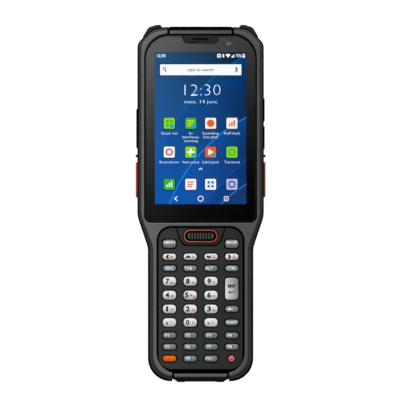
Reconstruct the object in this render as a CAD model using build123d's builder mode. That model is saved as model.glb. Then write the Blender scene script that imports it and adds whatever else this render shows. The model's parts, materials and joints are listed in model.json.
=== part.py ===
from build123d import *
import os

os.makedirs("parts", exist_ok=True)

# A rugged handheld data terminal, lying on its back. All lengths are in millimetres.
# +X is the keypad's right, +Y points to the scanner end, +Z out of the screen.
# The origin is under the middle of the body, on the plane that the back rests on.

# ---------------------------------------------------------------- driving dimensions
# Plan outline of the two housing shells
HEAD_HALF = 36.0
GRIP_HALF = 30.0
TOP_END = 100.7
BOTTOM_END = -101.2
TAPER_HIGH = -7.4
TAPER_LOW = -25.0
BOTTOM_CORNER_RADIUS = 13.2

# Heights
BACK_PLANE = 4.0
SPLIT_PLANE = 19.5
BAND_PLANE = 25.0
CREST_PLANE = 29.0
DECK_UNDERSIDE = 24.3
GLASS_LEDGE = 27.3
PANEL_LEDGE = 26.3
WALL = 2.2
PARTING_HEIGHT = 0.45
PARTING_DEPTH = 0.4
FIT_GAP = 0.1

# Rubber bumpers at the top corners
EAR_LOW = 5.0
EAR_HIGH = 22.9
EAR_BITE = 1.2
EAR_CHAMFER = 0.7

# Top cap, with the tongue that holds the receiver slot
CAP_HALF = 17.8
CAP_GAP = 0.85
CAP_SEAT = 95.0
CAP_TOP = 100.7
CAP_CREST_LOW = 96.45
RECEIVER_SLOT_LENGTH = 9.0
RECEIVER_SLOT_WIDTH = 1.2
RECEIVER_TONGUE_GAP = 0.3
RECEIVER_TONGUE_THICK = 0.9

# Crest of the rails, which stands inside the outline
CREST_HEAD_HALF = 33.2
CREST_GRIP_HALF = 26.2
CREST_TOP = 98.0
CREST_BOTTOM = -97.7
CREST_CORNER_RADIUS = 11.0
CREST_EDGE = 0.4

# Screen glass and display
GLASS_HALF = 31.1
GLASS_TOP = 95.5
GLASS_BOTTOM = -10.2
GLASS_TOP_RADIUS = 13.0
GLASS_BOTTOM_RADIUS = 3.0
GLASS_THICK = 1.1
GLASS_GROOVE = 1.05
GLASS_GROOVE_BOTTOM = 0.9
NOTCH_HALF = 10.4
NOTCH_DEPTH = 4.1
NOTCH_RADIUS = 2.4
LCD_HALF = 27.6
LCD_TOP = 90.5
LCD_BOTTOM = -6.0
LCD_THICK = 2.6

# Keypad panel
PANEL_HALF = 23.9
PANEL_TOP = -14.0
PANEL_BOTTOM = -94.2
PANEL_BOTTOM_RADIUS = 6.8
PANEL_TOP_RADIUS = 7.3
PANEL_SURFACE = 28.3
PANEL_GROOVE_SIDE = 1.2
PANEL_GROOVE_BOTTOM = 2.4
PANEL_GROOVE_CORNER = 11.7
ISLAND_TOP_HALF = 14.0
ISLAND_LOW_HALF = 10.4
ISLAND_BOTTOM = -23.8
ISLAND_GROOVE = 0.8
ISLAND_GROOVE_DEPTH = 0.8

# Keys: four columns, and rows given as centre height on Y, key height, corner radius, names
COLUMNS = (-17.7, -5.9, 5.9, 17.7)
KEY_WIDTH = 7.5
KEY_ROWS = (
    (-22.95, 4.7, 1.4, ("menu", None, None, "back")),
    (-30.3, 3.5, 1.65, ("left", "up", "down", "right")),
    (-36.9, 3.3, 1.55, ("esc", "tab", "alt", "ctrl")),
    (-44.25, 5.05, 2.0, ("7", "8", "9", None)),
    (-48.5, 12.5, 1.6, (None, None, None, "enter")),
    (-52.15, 5.05, 2.0, ("4", "5", "6", None)),
    (-60.0, 4.9, 2.0, ("1", "2", "3", None)),
    (-60.0, 3.5, 1.65, (None, None, None, "backspace")),
    (-67.65, 4.9, 2.0, ("star", "0", "dot", None)),
    (-67.65, 3.3, 1.55, (None, None, None, "shift")),
    (-75.0, 3.3, 1.55, ("f1", "f2", "f3", "f4")),
    (-81.5, 3.35, 1.55, ("f5", "f6", "f7", "f8")),
    (-88.2, 3.4, 1.5, ("fn", "f9", "f10", None)),
)
POWER_KEY_AT = (17.5, -88.2)
POWER_KEY_RADIUS = 1.75
KEY_TOP = 29.1
KEY_FLANGE_TOP = 26.1
KEY_BOTTOM = 25.3
KEY_FLANGE = 0.85
KEY_HOLE_GAP = 0.6
KEY_RIM = 0.25
MIC_AT = (12.4, -92.3)
MIC_RADIUS = 0.4
KEY_CROWN_RADIUS = 0.45

# Scan key in the middle under the screen
SCAN_KEY_Y = -18.46
RING_LENGTH = 19.4
RING_HEIGHT = 7.4
RING_WIDTH = 0.85
RING_TOP = 28.9
SCAN_KEY_LENGTH = 17.1
SCAN_KEY_HEIGHT = 5.1
SCAN_KEY_SHOULDER = 28.2
SCAN_PAD_LENGTH = 15.6
SCAN_PAD_HEIGHT = 4.4
SCAN_PAD_TOP = 28.8
SCAN_RIBS = 9
SCAN_RIB_PITCH = 1.58
SCAN_SLOT_WIDTH = 0.7
SCAN_SLOT_DEPTH = 0.5

# Circuit boards and key mat
MAT_HALF = 21.6
MAT_LOW = -92.4
MAT_HIGH = -14.7
MAT_CORNER_RADIUS = 6.0
BOARD_HEAD_HALF = 25.0
BOARD_GRIP_HALF = 21.5
BOARD_LOW = -84.0
BOARD_HIGH = 90.0
SHIELD_HEIGHT = 1.8
MEMBRANE_TOP = 24.5
MEMBRANE_BOTTOM = 24.0
KEY_BOARD_BOTTOM = 22.8
BOARD_TOP = 21.2
BOARD_BOTTOM = 20.0

# Side keys and triggers, as (low Y, high Y, proud of the wall)
LEFT_KEY = (31.6, 54.1, 0.8)
UPPER_RIGHT_KEY = (47.0, 60.1, 0.65)
LOWER_RIGHT_KEY = (31.0, 44.3, 0.65)
TRIGGER = (3.5, 23.7, 1.1)
SIDE_KEY_LOW = 13.0
SIDE_KEY_HIGH = 17.2
TRIGGER_LOW = 12.0
TRIGGER_HIGH = 18.4
SIDE_FLANGE = 0.9
SIDE_SLOT_GAP = 0.15
LUG_Y = 27.1
LUG_WIDTH = 1.4
LUG_PROUD = 1.1

# Back: scanner hump, scan head, heel, battery bay
BACK_EDGE_RADIUS = 7.0
HUMP_HALF = 31.5
HUMP_LOW = 36.0
HUMP_HIGH = 95.5
HUMP_CORNER_RADIUS = 10.0
HUMP_EDGE_RADIUS = 3.0
SCAN_HEAD_HALF = 17.8
SCAN_HEAD_LOW = 78.0
SCAN_HEAD_BACK = 1.2
HEEL_HALF = 19.0
HEEL_LOW = -92.5
BAY_HALF = 22.2
BAY_LOW = -84.0
BAY_HIGH = 21.2
BAY_CEILING = 15.3
BAY_WALL = 1.5
PACK_GAP = 0.3
PACK_LOW = -83.0
PACK_HIGH = 20.6
PACK_BACK = 3.0
PACK_FRONT = 15.0
PACK_HINGE_Y = 22.0
PACK_HINGE_Z = 6.5

PACK_HALF = BAY_HALF - PACK_GAP
PACK_BEVEL = 3.2
TAB_PIN_RADIUS = 0.9
TAB_THICK = 1.2
TAB_X = 14.0
TAB_WIDTH = 6.0

# Battery latch: a slider on the back, with a tongue that reaches into the pack
LATCH_HALF = 6.9
LATCH_LOW = -91.2
LATCH_HIGH = -85.2
LATCH_OUTER = 3.4
LATCH_INNER = 5.8
LATCH_GAP = 0.2
LATCH_TRAVEL = 2.0
TONGUE_HALF = 3.0
TONGUE_SETBACK = 1.0
TONGUE_TOP = 8.2

# Scan window and scan engine in the top end
WINDOW_HALF = 13.5
WINDOW_LOW = 4.5
WINDOW_HIGH = 16.5
WINDOW_THICK = 1.2
WINDOW_RECESS = 0.5
WINDOW_STEP = 1.5
ENGINE_LOW = 84.0
ENGINE_HIGH = 96.4
ENGINE_HALF = 11.0
ENGINE_TOP = 16.2
LENS_Z = 10.7

# Camera and loudspeaker in the hump
CAMERA_AT = (-14.0, 66.0)
CAMERA_RADIUS = 4.6
CAMERA_BACK = 0.5
CAMERA_HEIGHT = 6.0
SPEAKER_AT = (14.0, 66.0)
SPEAKER_SLOTS = 6
SPEAKER_PITCH = 2.4
SPEAKER_SLOT_LENGTH = 9.0
SPEAKER_SLOT_WIDTH = 1.2

# Port in the bottom end, and the rubber cover that hinges over it
PORT_Z = 14.5
PORT_LENGTH = 9.3
PORT_HEIGHT = 3.6
PORT_RECESS_HALF = 6.6
PORT_RECESS_HEIGHT = 8.2
PORT_RECESS_DEPTH = 2.6
COVER_HALF = 15.1
COVER_GAP = 1.1
COVER_SEAT = -98.8
COVER_AXIS_Y = -100.2
COVER_AXIS_Z = 6.6
COVER_POCKET_FLOOR = 4.5
COVER_OUTER = -101.9
COVER_INNER = -99.0
COVER_CREST_LOW = -98.15
COVER_BAND = -100.6
COVER_LEDGE = 22.0
TRUNNION_RADIUS = 0.6
THUMB_HALF = 9.0
THUMB_DEPTH = 0.3
LIP_SEAT = -96.3
LIP_INNER = -96.7
LIP_FLOOR = 26.2

# Housing screws, M2.5, driven from the back
SCREW_PLACES = ((28.5, 84.0, 4.5), (29.2, 28.0, 7.5), (25.0, -87.5, 7.5))
SCREW_SHANK_RADIUS = 1.2
SCREW_HEAD_RADIUS = 2.3
SCREW_HEAD_HEIGHT = 1.6
SCREW_TIP = 24.0
BOSS_RADIUS = 3.1

# Accessory bracket holes in the hump, tapped M3
BRACKET_HALF_SPACING = 15.0
BRACKET_Y = 44.0
BRACKET_HOLE_RADIUS = 1.25
BRACKET_HOLE_DEPTH = 5.0

# Shallow grooves in the flanks of the grip and across the battery pack
FLANK_GROOVES = 8
FLANK_GROOVE_PITCH = 5.0
FLANK_GROOVE_Y = -55.0
FLANK_GROOVE_WIDTH = 1.6
FLANK_GROOVE_DEPTH = 0.6
FLANK_GROOVE_LOW = 9.5
FLANK_GROOVE_HIGH = 17.5
PACK_GROOVES = 9
PACK_GROOVE_PITCH = 6.0
PACK_GROOVE_Y = -36.0
PACK_GROOVE_LENGTH = 30.0
PACK_GROOVE_WIDTH = 1.8
PACK_GROOVE_DEPTH = 0.6


def save(part, name):
    """Labels a finished piece and writes its file."""
    part.label = name
    export_step(part, f"parts/{name}.step")


def block(low, high, mode=Mode.ADD):
    """Adds a plain box between two opposite corners to the part that is being made."""
    size = [high_end - low_end for low_end, high_end in zip(low, high)]
    middle = [(high_end + low_end) / 2 for low_end, high_end in zip(low, high)]
    with Locations(tuple(middle)):
        Box(*size, mode=mode)


# ---------------------------------------------------------------- plan outlines
def body_plan(head_half, grip_half, top, bottom, shoulder, crown, corner_radius):
    """Closed outline of the body, seen from the front: wide head, tapered to the grip."""
    right = [
        (grip_half, bottom),
        (grip_half, TAPER_LOW),
        (head_half, TAPER_HIGH),
        (head_half, shoulder),
        crown,
        (16.0, top),
    ]
    radii = [corner_radius, 12.0, 17.0, 6.0, 11.0, 50.0]
    left = [(-x, y) for x, y in reversed(right)]
    with BuildSketch() as plan:
        with BuildLine():
            FilletPolyline(*right, *left, radius=radii + radii[::-1], close=True)
        make_face()
    return plan.sketch


def shell_plan():
    return body_plan(
        HEAD_HALF, GRIP_HALF, TOP_END, BOTTOM_END, 91.1, (27.3, 99.9), BOTTOM_CORNER_RADIUS
    )


def crest_plan():
    return body_plan(
        CREST_HEAD_HALF, CREST_GRIP_HALF, CREST_TOP, CREST_BOTTOM, 90.5, (27.0, 96.9), CREST_CORNER_RADIUS
    )


def four_corner_plan(half_x, low_y, high_y, low_radius, high_radius):
    """Rectangle on the Y axis with its own corner radius at each end."""
    corners = [(half_x, low_y), (half_x, high_y), (-half_x, high_y), (-half_x, low_y)]
    radii = [low_radius, high_radius, high_radius, low_radius]
    with BuildSketch() as plan:
        with BuildLine():
            FilletPolyline(*corners, radius=radii, close=True)
        make_face()
    return plan.sketch


def corner_rectangle(half_x, low_y, high_y):
    """Plain rectangle on the Y axis."""
    with BuildSketch() as plan:
        with Locations((0, (low_y + high_y) / 2)):
            Rectangle(2 * half_x, high_y - low_y)
    return plan.sketch


def keypad_plan(margin, bottom_margin, bottom_radius):
    """Outline of the keypad panel, grown by a margin at the sides and top and by another below."""
    return four_corner_plan(
        PANEL_HALF + margin,
        PANEL_BOTTOM - bottom_margin,
        PANEL_TOP + margin,
        bottom_radius,
        PANEL_TOP_RADIUS + margin,
    )


def ear_plan():
    """Outline of the right-hand corner bumper."""
    corners = [(34.9, 88.0), (32.7, 95.5), (29.8, 100.4), (25.2, 101.9), (22.9, 101.9), (19.9, 97.6)]
    corners += [(29.0, 88.0)]
    radii = [2.0, 4.0, 3.0, 4.0, 1.2, 2.0, 2.0]
    with BuildSketch() as plan:
        with BuildLine():
            FilletPolyline(*corners, radius=radii, close=True)
        make_face()
    return plan.sketch


KEYS = [
    (name, column, row_y, height, radius)
    for row_y, height, radius, names in KEY_ROWS
    for column, name in zip(COLUMNS, names)
    if name
]
SIDES = (-1, 1)

# ---------------------------------------------------------------- corner bumpers
with BuildPart() as corner_bumpers:
    with BuildSketch(Plane.XY.offset(EAR_LOW)):
        add(ear_plan())
        add(mirror(ear_plan(), about=Plane.YZ, mode=Mode.PRIVATE))
    extrude(amount=EAR_HIGH - EAR_LOW)
    chamfer(corner_bumpers.faces().filter_by(Axis.Z).edges(), EAR_CHAMFER)
    with BuildSketch(Plane.XY):
        add(shell_plan())
        offset(amount=-EAR_BITE)
    extrude(amount=CREST_PLANE, mode=Mode.SUBTRACT)
save(corner_bumpers.part, "corner_bumpers")

# ---------------------------------------------------------------- front frame
with BuildPart() as front_frame:
    with BuildSketch(Plane.XY.offset(SPLIT_PLANE)):
        add(shell_plan())
    extrude(amount=BAND_PLANE - SPLIT_PLANE)
    with BuildSketch(Plane.XY.offset(BAND_PLANE)):
        add(shell_plan())
    with BuildSketch(Plane.XY.offset(CREST_PLANE)):
        add(crest_plan())
    loft(ruled=True)
    # Recesses that the glass and the keypad panel drop into
    with BuildSketch(Plane.XY.offset(GLASS_LEDGE)):
        add(
            four_corner_plan(
                GLASS_HALF + GLASS_GROOVE,
                GLASS_BOTTOM - GLASS_GROOVE_BOTTOM,
                GLASS_TOP + GLASS_GROOVE - 0.1,
                GLASS_BOTTOM_RADIUS + GLASS_GROOVE,
                GLASS_TOP_RADIUS + GLASS_GROOVE,
            )
        )
    extrude(amount=CREST_PLANE - GLASS_LEDGE, mode=Mode.SUBTRACT)
    with BuildSketch(Plane.XY.offset(PANEL_LEDGE)):
        add(keypad_plan(PANEL_GROOVE_SIDE, PANEL_GROOVE_BOTTOM, PANEL_GROOVE_CORNER))
    extrude(amount=CREST_PLANE - PANEL_LEDGE, mode=Mode.SUBTRACT)
    crest = front_frame.faces().filter_by(Axis.Z).sort_by(Axis.Z)[-1]
    chamfer([edge for wire in crest.inner_wires() for edge in wire.edges()], CREST_EDGE)
    # Parting groove that runs round the joint of the two shells
    with BuildSketch(Plane.XY.offset(SPLIT_PLANE)):
        add(shell_plan())
        offset(shell_plan(), amount=-PARTING_DEPTH, mode=Mode.SUBTRACT)
    extrude(amount=PARTING_HEIGHT, mode=Mode.SUBTRACT)
    # Hollow underside below the deck
    with BuildSketch(Plane.XY.offset(SPLIT_PLANE)):
        add(shell_plan())
        offset(amount=-WALL)
    extrude(amount=DECK_UNDERSIDE - SPLIT_PLANE, mode=Mode.SUBTRACT)
    # Openings in the deck for the display and the keys
    with BuildSketch(Plane.XY.offset(SPLIT_PLANE)):
        add(four_corner_plan(LCD_HALF + 0.6, LCD_BOTTOM - 0.6, LCD_TOP + 0.6, 1.0, 1.0))
        add(four_corner_plan(PANEL_HALF - 1.2, PANEL_BOTTOM + 1.2, PANEL_TOP - 0.4, 6.0, 6.0))
    extrude(amount=CREST_PLANE - SPLIT_PLANE, mode=Mode.SUBTRACT)
    # Bosses that take the housing screws
    with BuildSketch(Plane.XY.offset(SPLIT_PLANE)):
        with Locations(*[(side * x, y) for x, y, _ in SCREW_PLACES for side in SIDES]):
            Circle(BOSS_RADIUS)
    extrude(amount=DECK_UNDERSIDE - SPLIT_PLANE)
    # Seats for the top cap and the port cover
    with BuildSketch(Plane.XY.offset(SPLIT_PLANE)):
        with Locations((0, CAP_SEAT - FIT_GAP + 10)):
            Rectangle(2 * (CAP_HALF + CAP_GAP), 20)
        with Locations((0, COVER_SEAT - 10)):
            Rectangle(2 * (COVER_HALF + COVER_GAP), 20)
    extrude(amount=CREST_PLANE - SPLIT_PLANE, mode=Mode.SUBTRACT)
    with BuildSketch(Plane.XY.offset(LIP_FLOOR)):
        with Locations((0, LIP_SEAT - 10)):
            Rectangle(2 * (COVER_HALF + COVER_GAP), 20)
    extrude(amount=CREST_PLANE - LIP_FLOOR, mode=Mode.SUBTRACT)
    # Corner pockets for the bumpers, and the screw holes
    with BuildSketch(Plane.XY.offset(SPLIT_PLANE)):
        add(ear_plan())
        add(mirror(ear_plan(), about=Plane.YZ, mode=Mode.PRIVATE))
        add(offset(shell_plan(), amount=-EAR_BITE - 0.03, mode=Mode.PRIVATE), mode=Mode.SUBTRACT)
    extrude(amount=EAR_HIGH + FIT_GAP - SPLIT_PLANE, mode=Mode.SUBTRACT)
    with BuildSketch(Plane.XY.offset(SPLIT_PLANE)):
        with Locations(*[(side * x, y) for x, y, _ in SCREW_PLACES for side in SIDES]):
            Circle(SCREW_SHANK_RADIUS + 0.05)
    extrude(amount=SCREW_TIP + 0.2 - SPLIT_PLANE, mode=Mode.SUBTRACT)
save(front_frame.part, "front_frame")

# ---------------------------------------------------------------- rear housing
def side_key_slots():
    """Each side opening as (side, low Y, high Y, low Z, high Z)."""
    slots = [(-1, LEFT_KEY[0], LEFT_KEY[1], SIDE_KEY_LOW, SIDE_KEY_HIGH)]
    for low, high, _ in (UPPER_RIGHT_KEY, LOWER_RIGHT_KEY):
        slots.append((1, low, high, SIDE_KEY_LOW, SIDE_KEY_HIGH))
    slots += [(side, TRIGGER[0], TRIGGER[1], TRIGGER_LOW, TRIGGER_HIGH) for side in SIDES]
    return slots


# Forms that stand out of the back: hump over the head, scan head at the top end, heel at the bottom end
with BuildPart() as hump:
    with BuildSketch(Plane.XY):
        add(four_corner_plan(HUMP_HALF, HUMP_LOW, HUMP_HIGH, HUMP_CORNER_RADIUS, HUMP_CORNER_RADIUS))
    extrude(amount=BACK_PLANE + 6)
    fillet(hump.faces().sort_by(Axis.Z)[0].edges(), HUMP_EDGE_RADIUS)

with BuildPart() as scan_head:
    block(
        (-SCAN_HEAD_HALF, SCAN_HEAD_LOW, SCAN_HEAD_BACK),
        (SCAN_HEAD_HALF, TOP_END - 0.2, SPLIT_PLANE),
    )
    fillet(scan_head.edges().group_by(Axis.Y)[-1].group_by(Axis.Z)[0], 1.0)

with BuildPart() as heel:
    block((-HEEL_HALF, BOTTOM_END, 0), (HEEL_HALF, HEEL_LOW, SPLIT_PLANE))
    fillet(heel.edges().filter_by(Axis.Z).group_by(Axis.Y)[0], 4.0)
    fillet(heel.faces().sort_by(Axis.Z)[0].edges(), 1.5)

with BuildPart() as rear_housing:
    with BuildSketch(Plane.XY.offset(BACK_PLANE)):
        add(shell_plan())
    extrude(amount=SPLIT_PLANE - BACK_PLANE)
    fillet(rear_housing.faces().sort_by(Axis.Z)[0].edges(), BACK_EDGE_RADIUS)
    add([hump.part, scan_head.part, heel.part])
    # Hollow inside, leaving the back, the walls and the two end walls
    with BuildSketch(Plane.XY.offset(BACK_PLANE + WALL)):
        add(shell_plan())
        offset(amount=-WALL - 1.0)
    extrude(amount=SPLIT_PLANE - BACK_PLANE - WALL, mode=Mode.SUBTRACT)
    with BuildSketch(Plane.XY.offset(BACK_PLANE + BACK_EDGE_RADIUS)):
        add(shell_plan())
        offset(amount=-WALL)
    extrude(amount=SPLIT_PLANE - BACK_PLANE - BACK_EDGE_RADIUS, mode=Mode.SUBTRACT)
    with BuildSketch(Plane.XY.offset(WALL)):
        add(four_corner_plan(HUMP_HALF - 3.0, HUMP_LOW + 3.0, HUMP_HIGH - 5.0, 7.0, 7.0))
    extrude(amount=BACK_PLANE, mode=Mode.SUBTRACT)
    # Tray around the battery bay, block behind the latch and wall behind the port
    with BuildSketch(Plane.XY.offset(BACK_PLANE)):
        tray_high = BAY_HIGH + BAY_WALL + 1.5
        add(four_corner_plan(BAY_HALF + BAY_WALL, BAY_LOW - BAY_WALL, tray_high, 2.0, 2.0))
    extrude(amount=BAY_CEILING + BAY_WALL - BACK_PLANE)
    with BuildSketch(Plane.XY.offset(BACK_PLANE)):
        with Locations((0, BAY_LOW - 5.5)):
            Rectangle(2 * LATCH_HALF + 5, 11)
    extrude(amount=6.0)
    with BuildSketch(Plane.XY.offset(BACK_PLANE)):
        with Locations((0, COVER_SEAT + 2.9)):
            Rectangle(2 * COVER_HALF + 5, 5.8)
    extrude(amount=SPLIT_PLANE - BACK_PLANE)
    # Screw bosses and the two bosses of the accessory bracket
    with BuildSketch(Plane.XY.offset(BACK_PLANE + 1)):
        with Locations(*[(side * x, y) for x, y, _ in SCREW_PLACES for side in SIDES]):
            Circle(BOSS_RADIUS)
    extrude(amount=SPLIT_PLANE - BACK_PLANE - 1)
    with BuildSketch(Plane.XY.offset(1.0)):
        with Locations(*[(side * BRACKET_HALF_SPACING, BRACKET_Y) for side in SIDES]):
            Circle(3.2)
    extrude(amount=BRACKET_HOLE_DEPTH + 1.0)
    # Lugs on both flanks, above the triggers
    with BuildSketch(Plane.XY.offset(11.5)):
        with Locations(*[(side * (HEAD_HALF - 0.5), LUG_Y) for side in SIDES]):
            Rectangle(2 * (LUG_PROUD + 0.5), LUG_WIDTH)
    extrude(amount=7.0)
    # Battery bay, tab pockets and latch channel
    with BuildSketch(Plane.XY):
        add(four_corner_plan(BAY_HALF, BAY_LOW, BAY_HIGH, 1.2, 1.2))
    extrude(amount=BAY_CEILING, mode=Mode.SUBTRACT)
    with BuildSketch(Plane.XY.offset(PACK_HINGE_Z - 1.6)):
        with Locations(*[(side * TAB_X, BAY_HIGH + 0.9) for side in SIDES]):
            Rectangle(TAB_WIDTH + 1.0, 2.4)
    extrude(amount=2.9, mode=Mode.SUBTRACT)
    channel_low = LATCH_LOW - LATCH_TRAVEL - LATCH_GAP
    tongue_low = LATCH_LOW - LATCH_TRAVEL + TONGUE_SETBACK - LATCH_GAP
    with BuildSketch(Plane.XY):
        add(corner_rectangle(LATCH_HALF + LATCH_GAP, channel_low, LATCH_HIGH + LATCH_GAP))
    extrude(amount=LATCH_INNER + LATCH_GAP, mode=Mode.SUBTRACT)
    with BuildSketch(Plane.XY.offset(BACK_PLANE)):
        add(corner_rectangle(TONGUE_HALF + LATCH_GAP, tongue_low, BAY_LOW + 0.5))
    extrude(amount=TONGUE_TOP + LATCH_GAP - BACK_PLANE, mode=Mode.SUBTRACT)
    # Screw head pockets and shank holes
    for x, y, seat in SCREW_PLACES:
        with BuildSketch(Plane.XY):
            with Locations((x, y), (-x, y)):
                Circle(SCREW_HEAD_RADIUS + 0.3)
        extrude(amount=seat, mode=Mode.SUBTRACT)
        with BuildSketch(Plane.XY):
            with Locations((x, y), (-x, y)):
                Circle(SCREW_SHANK_RADIUS + 0.05)
        extrude(amount=SPLIT_PLANE, mode=Mode.SUBTRACT)
    with BuildSketch(Plane.XY):
        with Locations(*[(side * BRACKET_HALF_SPACING, BRACKET_Y) for side in SIDES]):
            Circle(BRACKET_HOLE_RADIUS)
    extrude(amount=BRACKET_HOLE_DEPTH, mode=Mode.SUBTRACT)
    # Camera opening and speaker slots in the hump
    with BuildSketch(Plane.XY):
        with Locations(CAMERA_AT):
            Circle(CAMERA_RADIUS + 0.05)
        with Locations(SPEAKER_AT):
            with GridLocations(SPEAKER_PITCH, 0, SPEAKER_SLOTS, 1):
                SlotOverall(SPEAKER_SLOT_LENGTH, SPEAKER_SLOT_WIDTH, rotation=90)
    extrude(amount=BACK_PLANE, mode=Mode.SUBTRACT)
    # Scan window opening in the top end, with a step that the window sits on
    with BuildSketch(Plane.XZ.offset(-TOP_END)):
        with Locations((0, (WINDOW_LOW + WINDOW_HIGH) / 2)):
            RectangleRounded(2 * WINDOW_HALF, WINDOW_HIGH - WINDOW_LOW, 2.0)
    extrude(amount=WINDOW_RECESS + WINDOW_THICK, mode=Mode.SUBTRACT)
    with BuildSketch(Plane.XZ.offset(-TOP_END)):
        with Locations((0, (WINDOW_LOW + WINDOW_HIGH) / 2)):
            RectangleRounded(
                2 * (WINDOW_HALF - WINDOW_STEP), WINDOW_HIGH - WINDOW_LOW - 2 * WINDOW_STEP, 1.0
            )
    extrude(amount=5.0, mode=Mode.SUBTRACT)
    # Side openings for the keys and the triggers
    for side, low, high, bottom, top in side_key_slots():
        middle = ((high + low) / 2, (top + bottom) / 2)
        with BuildSketch(Plane.YZ.offset(side * (HEAD_HALF + 1))):
            with Locations(middle):
                RectangleRounded(
                    high - low + 2 * SIDE_SLOT_GAP,
                    top - bottom + 2 * SIDE_SLOT_GAP,
                    (top - bottom) / 2 - 0.1,
                )
        extrude(amount=-side * (WALL + 3), mode=Mode.SUBTRACT)
    # Finger grooves in both flanks of the grip
    with BuildSketch(Plane.XY.offset(FLANK_GROOVE_LOW)):
        with Locations(*[(side * GRIP_HALF, FLANK_GROOVE_Y) for side in SIDES]):
            with GridLocations(0, FLANK_GROOVE_PITCH, 1, FLANK_GROOVES):
                Rectangle(2 * FLANK_GROOVE_DEPTH, FLANK_GROOVE_WIDTH)
    extrude(amount=FLANK_GROOVE_HIGH - FLANK_GROOVE_LOW, mode=Mode.SUBTRACT)
    # Corner pockets for the bumpers
    with BuildSketch(Plane.XY.offset(EAR_LOW - FIT_GAP)):
        add(ear_plan())
        add(mirror(ear_plan(), about=Plane.YZ, mode=Mode.PRIVATE))
        add(offset(shell_plan(), amount=-EAR_BITE - 0.03, mode=Mode.PRIVATE), mode=Mode.SUBTRACT)
    extrude(amount=SPLIT_PLANE, mode=Mode.SUBTRACT)
    # Recess for the port cover, trunnion holes and the port recess
    with BuildSketch(Plane.XY.offset(COVER_POCKET_FLOOR)):
        with Locations((0, COVER_SEAT - 10)):
            Rectangle(2 * (COVER_HALF + COVER_GAP), 20)
    extrude(amount=SPLIT_PLANE, mode=Mode.SUBTRACT)
    with BuildSketch(Plane.YZ):
        with Locations((COVER_AXIS_Y, COVER_AXIS_Z)):
            Circle(TRUNNION_RADIUS + 0.05)
    extrude(amount=COVER_HALF + COVER_GAP + 1.4, both=True, mode=Mode.SUBTRACT)
    with BuildSketch(Plane.XZ.offset(-COVER_SEAT + 0.1)):
        with Locations((0, PORT_Z)):
            RectangleRounded(2 * PORT_RECESS_HALF, PORT_RECESS_HEIGHT, 2.0)
    extrude(amount=-PORT_RECESS_DEPTH, mode=Mode.SUBTRACT)
    with BuildSketch(Plane.XZ.offset(-COVER_SEAT + 0.1)):
        with Locations((0, PORT_Z)):
            SlotOverall(PORT_LENGTH, PORT_HEIGHT)
    extrude(amount=-10, mode=Mode.SUBTRACT)
save(rear_housing.part, "rear_housing")

# ---------------------------------------------------------------- top cap with receiver tongue
with BuildPart() as top_cap:
    with BuildSketch(Plane.YZ):
        with BuildLine():
            Polyline(
                (CAP_SEAT, SPLIT_PLANE + FIT_GAP),
                (CAP_TOP, SPLIT_PLANE + FIT_GAP),
                (CAP_TOP, BAND_PLANE),
                (CREST_TOP, CREST_PLANE),
                (CAP_CREST_LOW, CREST_PLANE),
                (CAP_CREST_LOW, GLASS_LEDGE),
                (CAP_SEAT, GLASS_LEDGE),
                close=True,
            )
        make_face()
    extrude(amount=CAP_HALF, both=True)
    with BuildSketch(Plane.XY.offset(GLASS_LEDGE)):
        add(
            four_corner_plan(
                NOTCH_HALF - RECEIVER_TONGUE_GAP,
                GLASS_TOP - NOTCH_DEPTH + RECEIVER_TONGUE_GAP,
                CAP_SEAT + 0.7,
                NOTCH_RADIUS,
                0.3,
            )
        )
    extrude(amount=RECEIVER_TONGUE_THICK)
    with BuildSketch(Plane.XY.offset(GLASS_LEDGE)):
        with Locations((0, GLASS_TOP - NOTCH_DEPTH / 2 - 0.1)):
            SlotOverall(RECEIVER_SLOT_LENGTH, RECEIVER_SLOT_WIDTH)
    extrude(amount=RECEIVER_TONGUE_THICK, mode=Mode.SUBTRACT)
save(top_cap.part, "top_cap")

# ---------------------------------------------------------------- screen glass and display
with BuildPart() as screen_glass:
    with BuildSketch(Plane.XY.offset(GLASS_LEDGE)):
        add(four_corner_plan(GLASS_HALF, GLASS_BOTTOM, GLASS_TOP, GLASS_BOTTOM_RADIUS, GLASS_TOP_RADIUS))
        add(
            four_corner_plan(NOTCH_HALF, GLASS_TOP - NOTCH_DEPTH, GLASS_TOP + 5, NOTCH_RADIUS, 0.5),
            mode=Mode.SUBTRACT,
        )
    extrude(amount=GLASS_THICK)
    chamfer(screen_glass.faces().sort_by(Axis.Z)[-1].edges(), 0.2)
save(screen_glass.part, "screen_glass")

with BuildPart() as lcd_module:
    with BuildSketch(Plane.XY.offset(GLASS_LEDGE - LCD_THICK)):
        add(four_corner_plan(LCD_HALF, LCD_BOTTOM, LCD_TOP, 0.8, 0.8))
    extrude(amount=LCD_THICK)
save(lcd_module.part, "lcd_module")


# ---------------------------------------------------------------- keypad panel
def island_plan(grow):
    """Trapezoid around the scan key, open towards the screen."""
    top = PANEL_TOP + 3.0
    spread = (ISLAND_TOP_HALF - ISLAND_LOW_HALF) / (PANEL_TOP - ISLAND_BOTTOM)
    corners = [
        (ISLAND_TOP_HALF + 3.0 * spread + grow, top),
        (ISLAND_LOW_HALF + grow, ISLAND_BOTTOM - grow),
        (-ISLAND_LOW_HALF - grow, ISLAND_BOTTOM - grow),
        (-ISLAND_TOP_HALF - 3.0 * spread - grow, top),
    ]
    with BuildSketch() as plan:
        with BuildLine():
            FilletPolyline(*corners, radius=[0.5, 4.5, 4.5, 0.5], close=True)
        make_face()
    return plan.sketch


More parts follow.
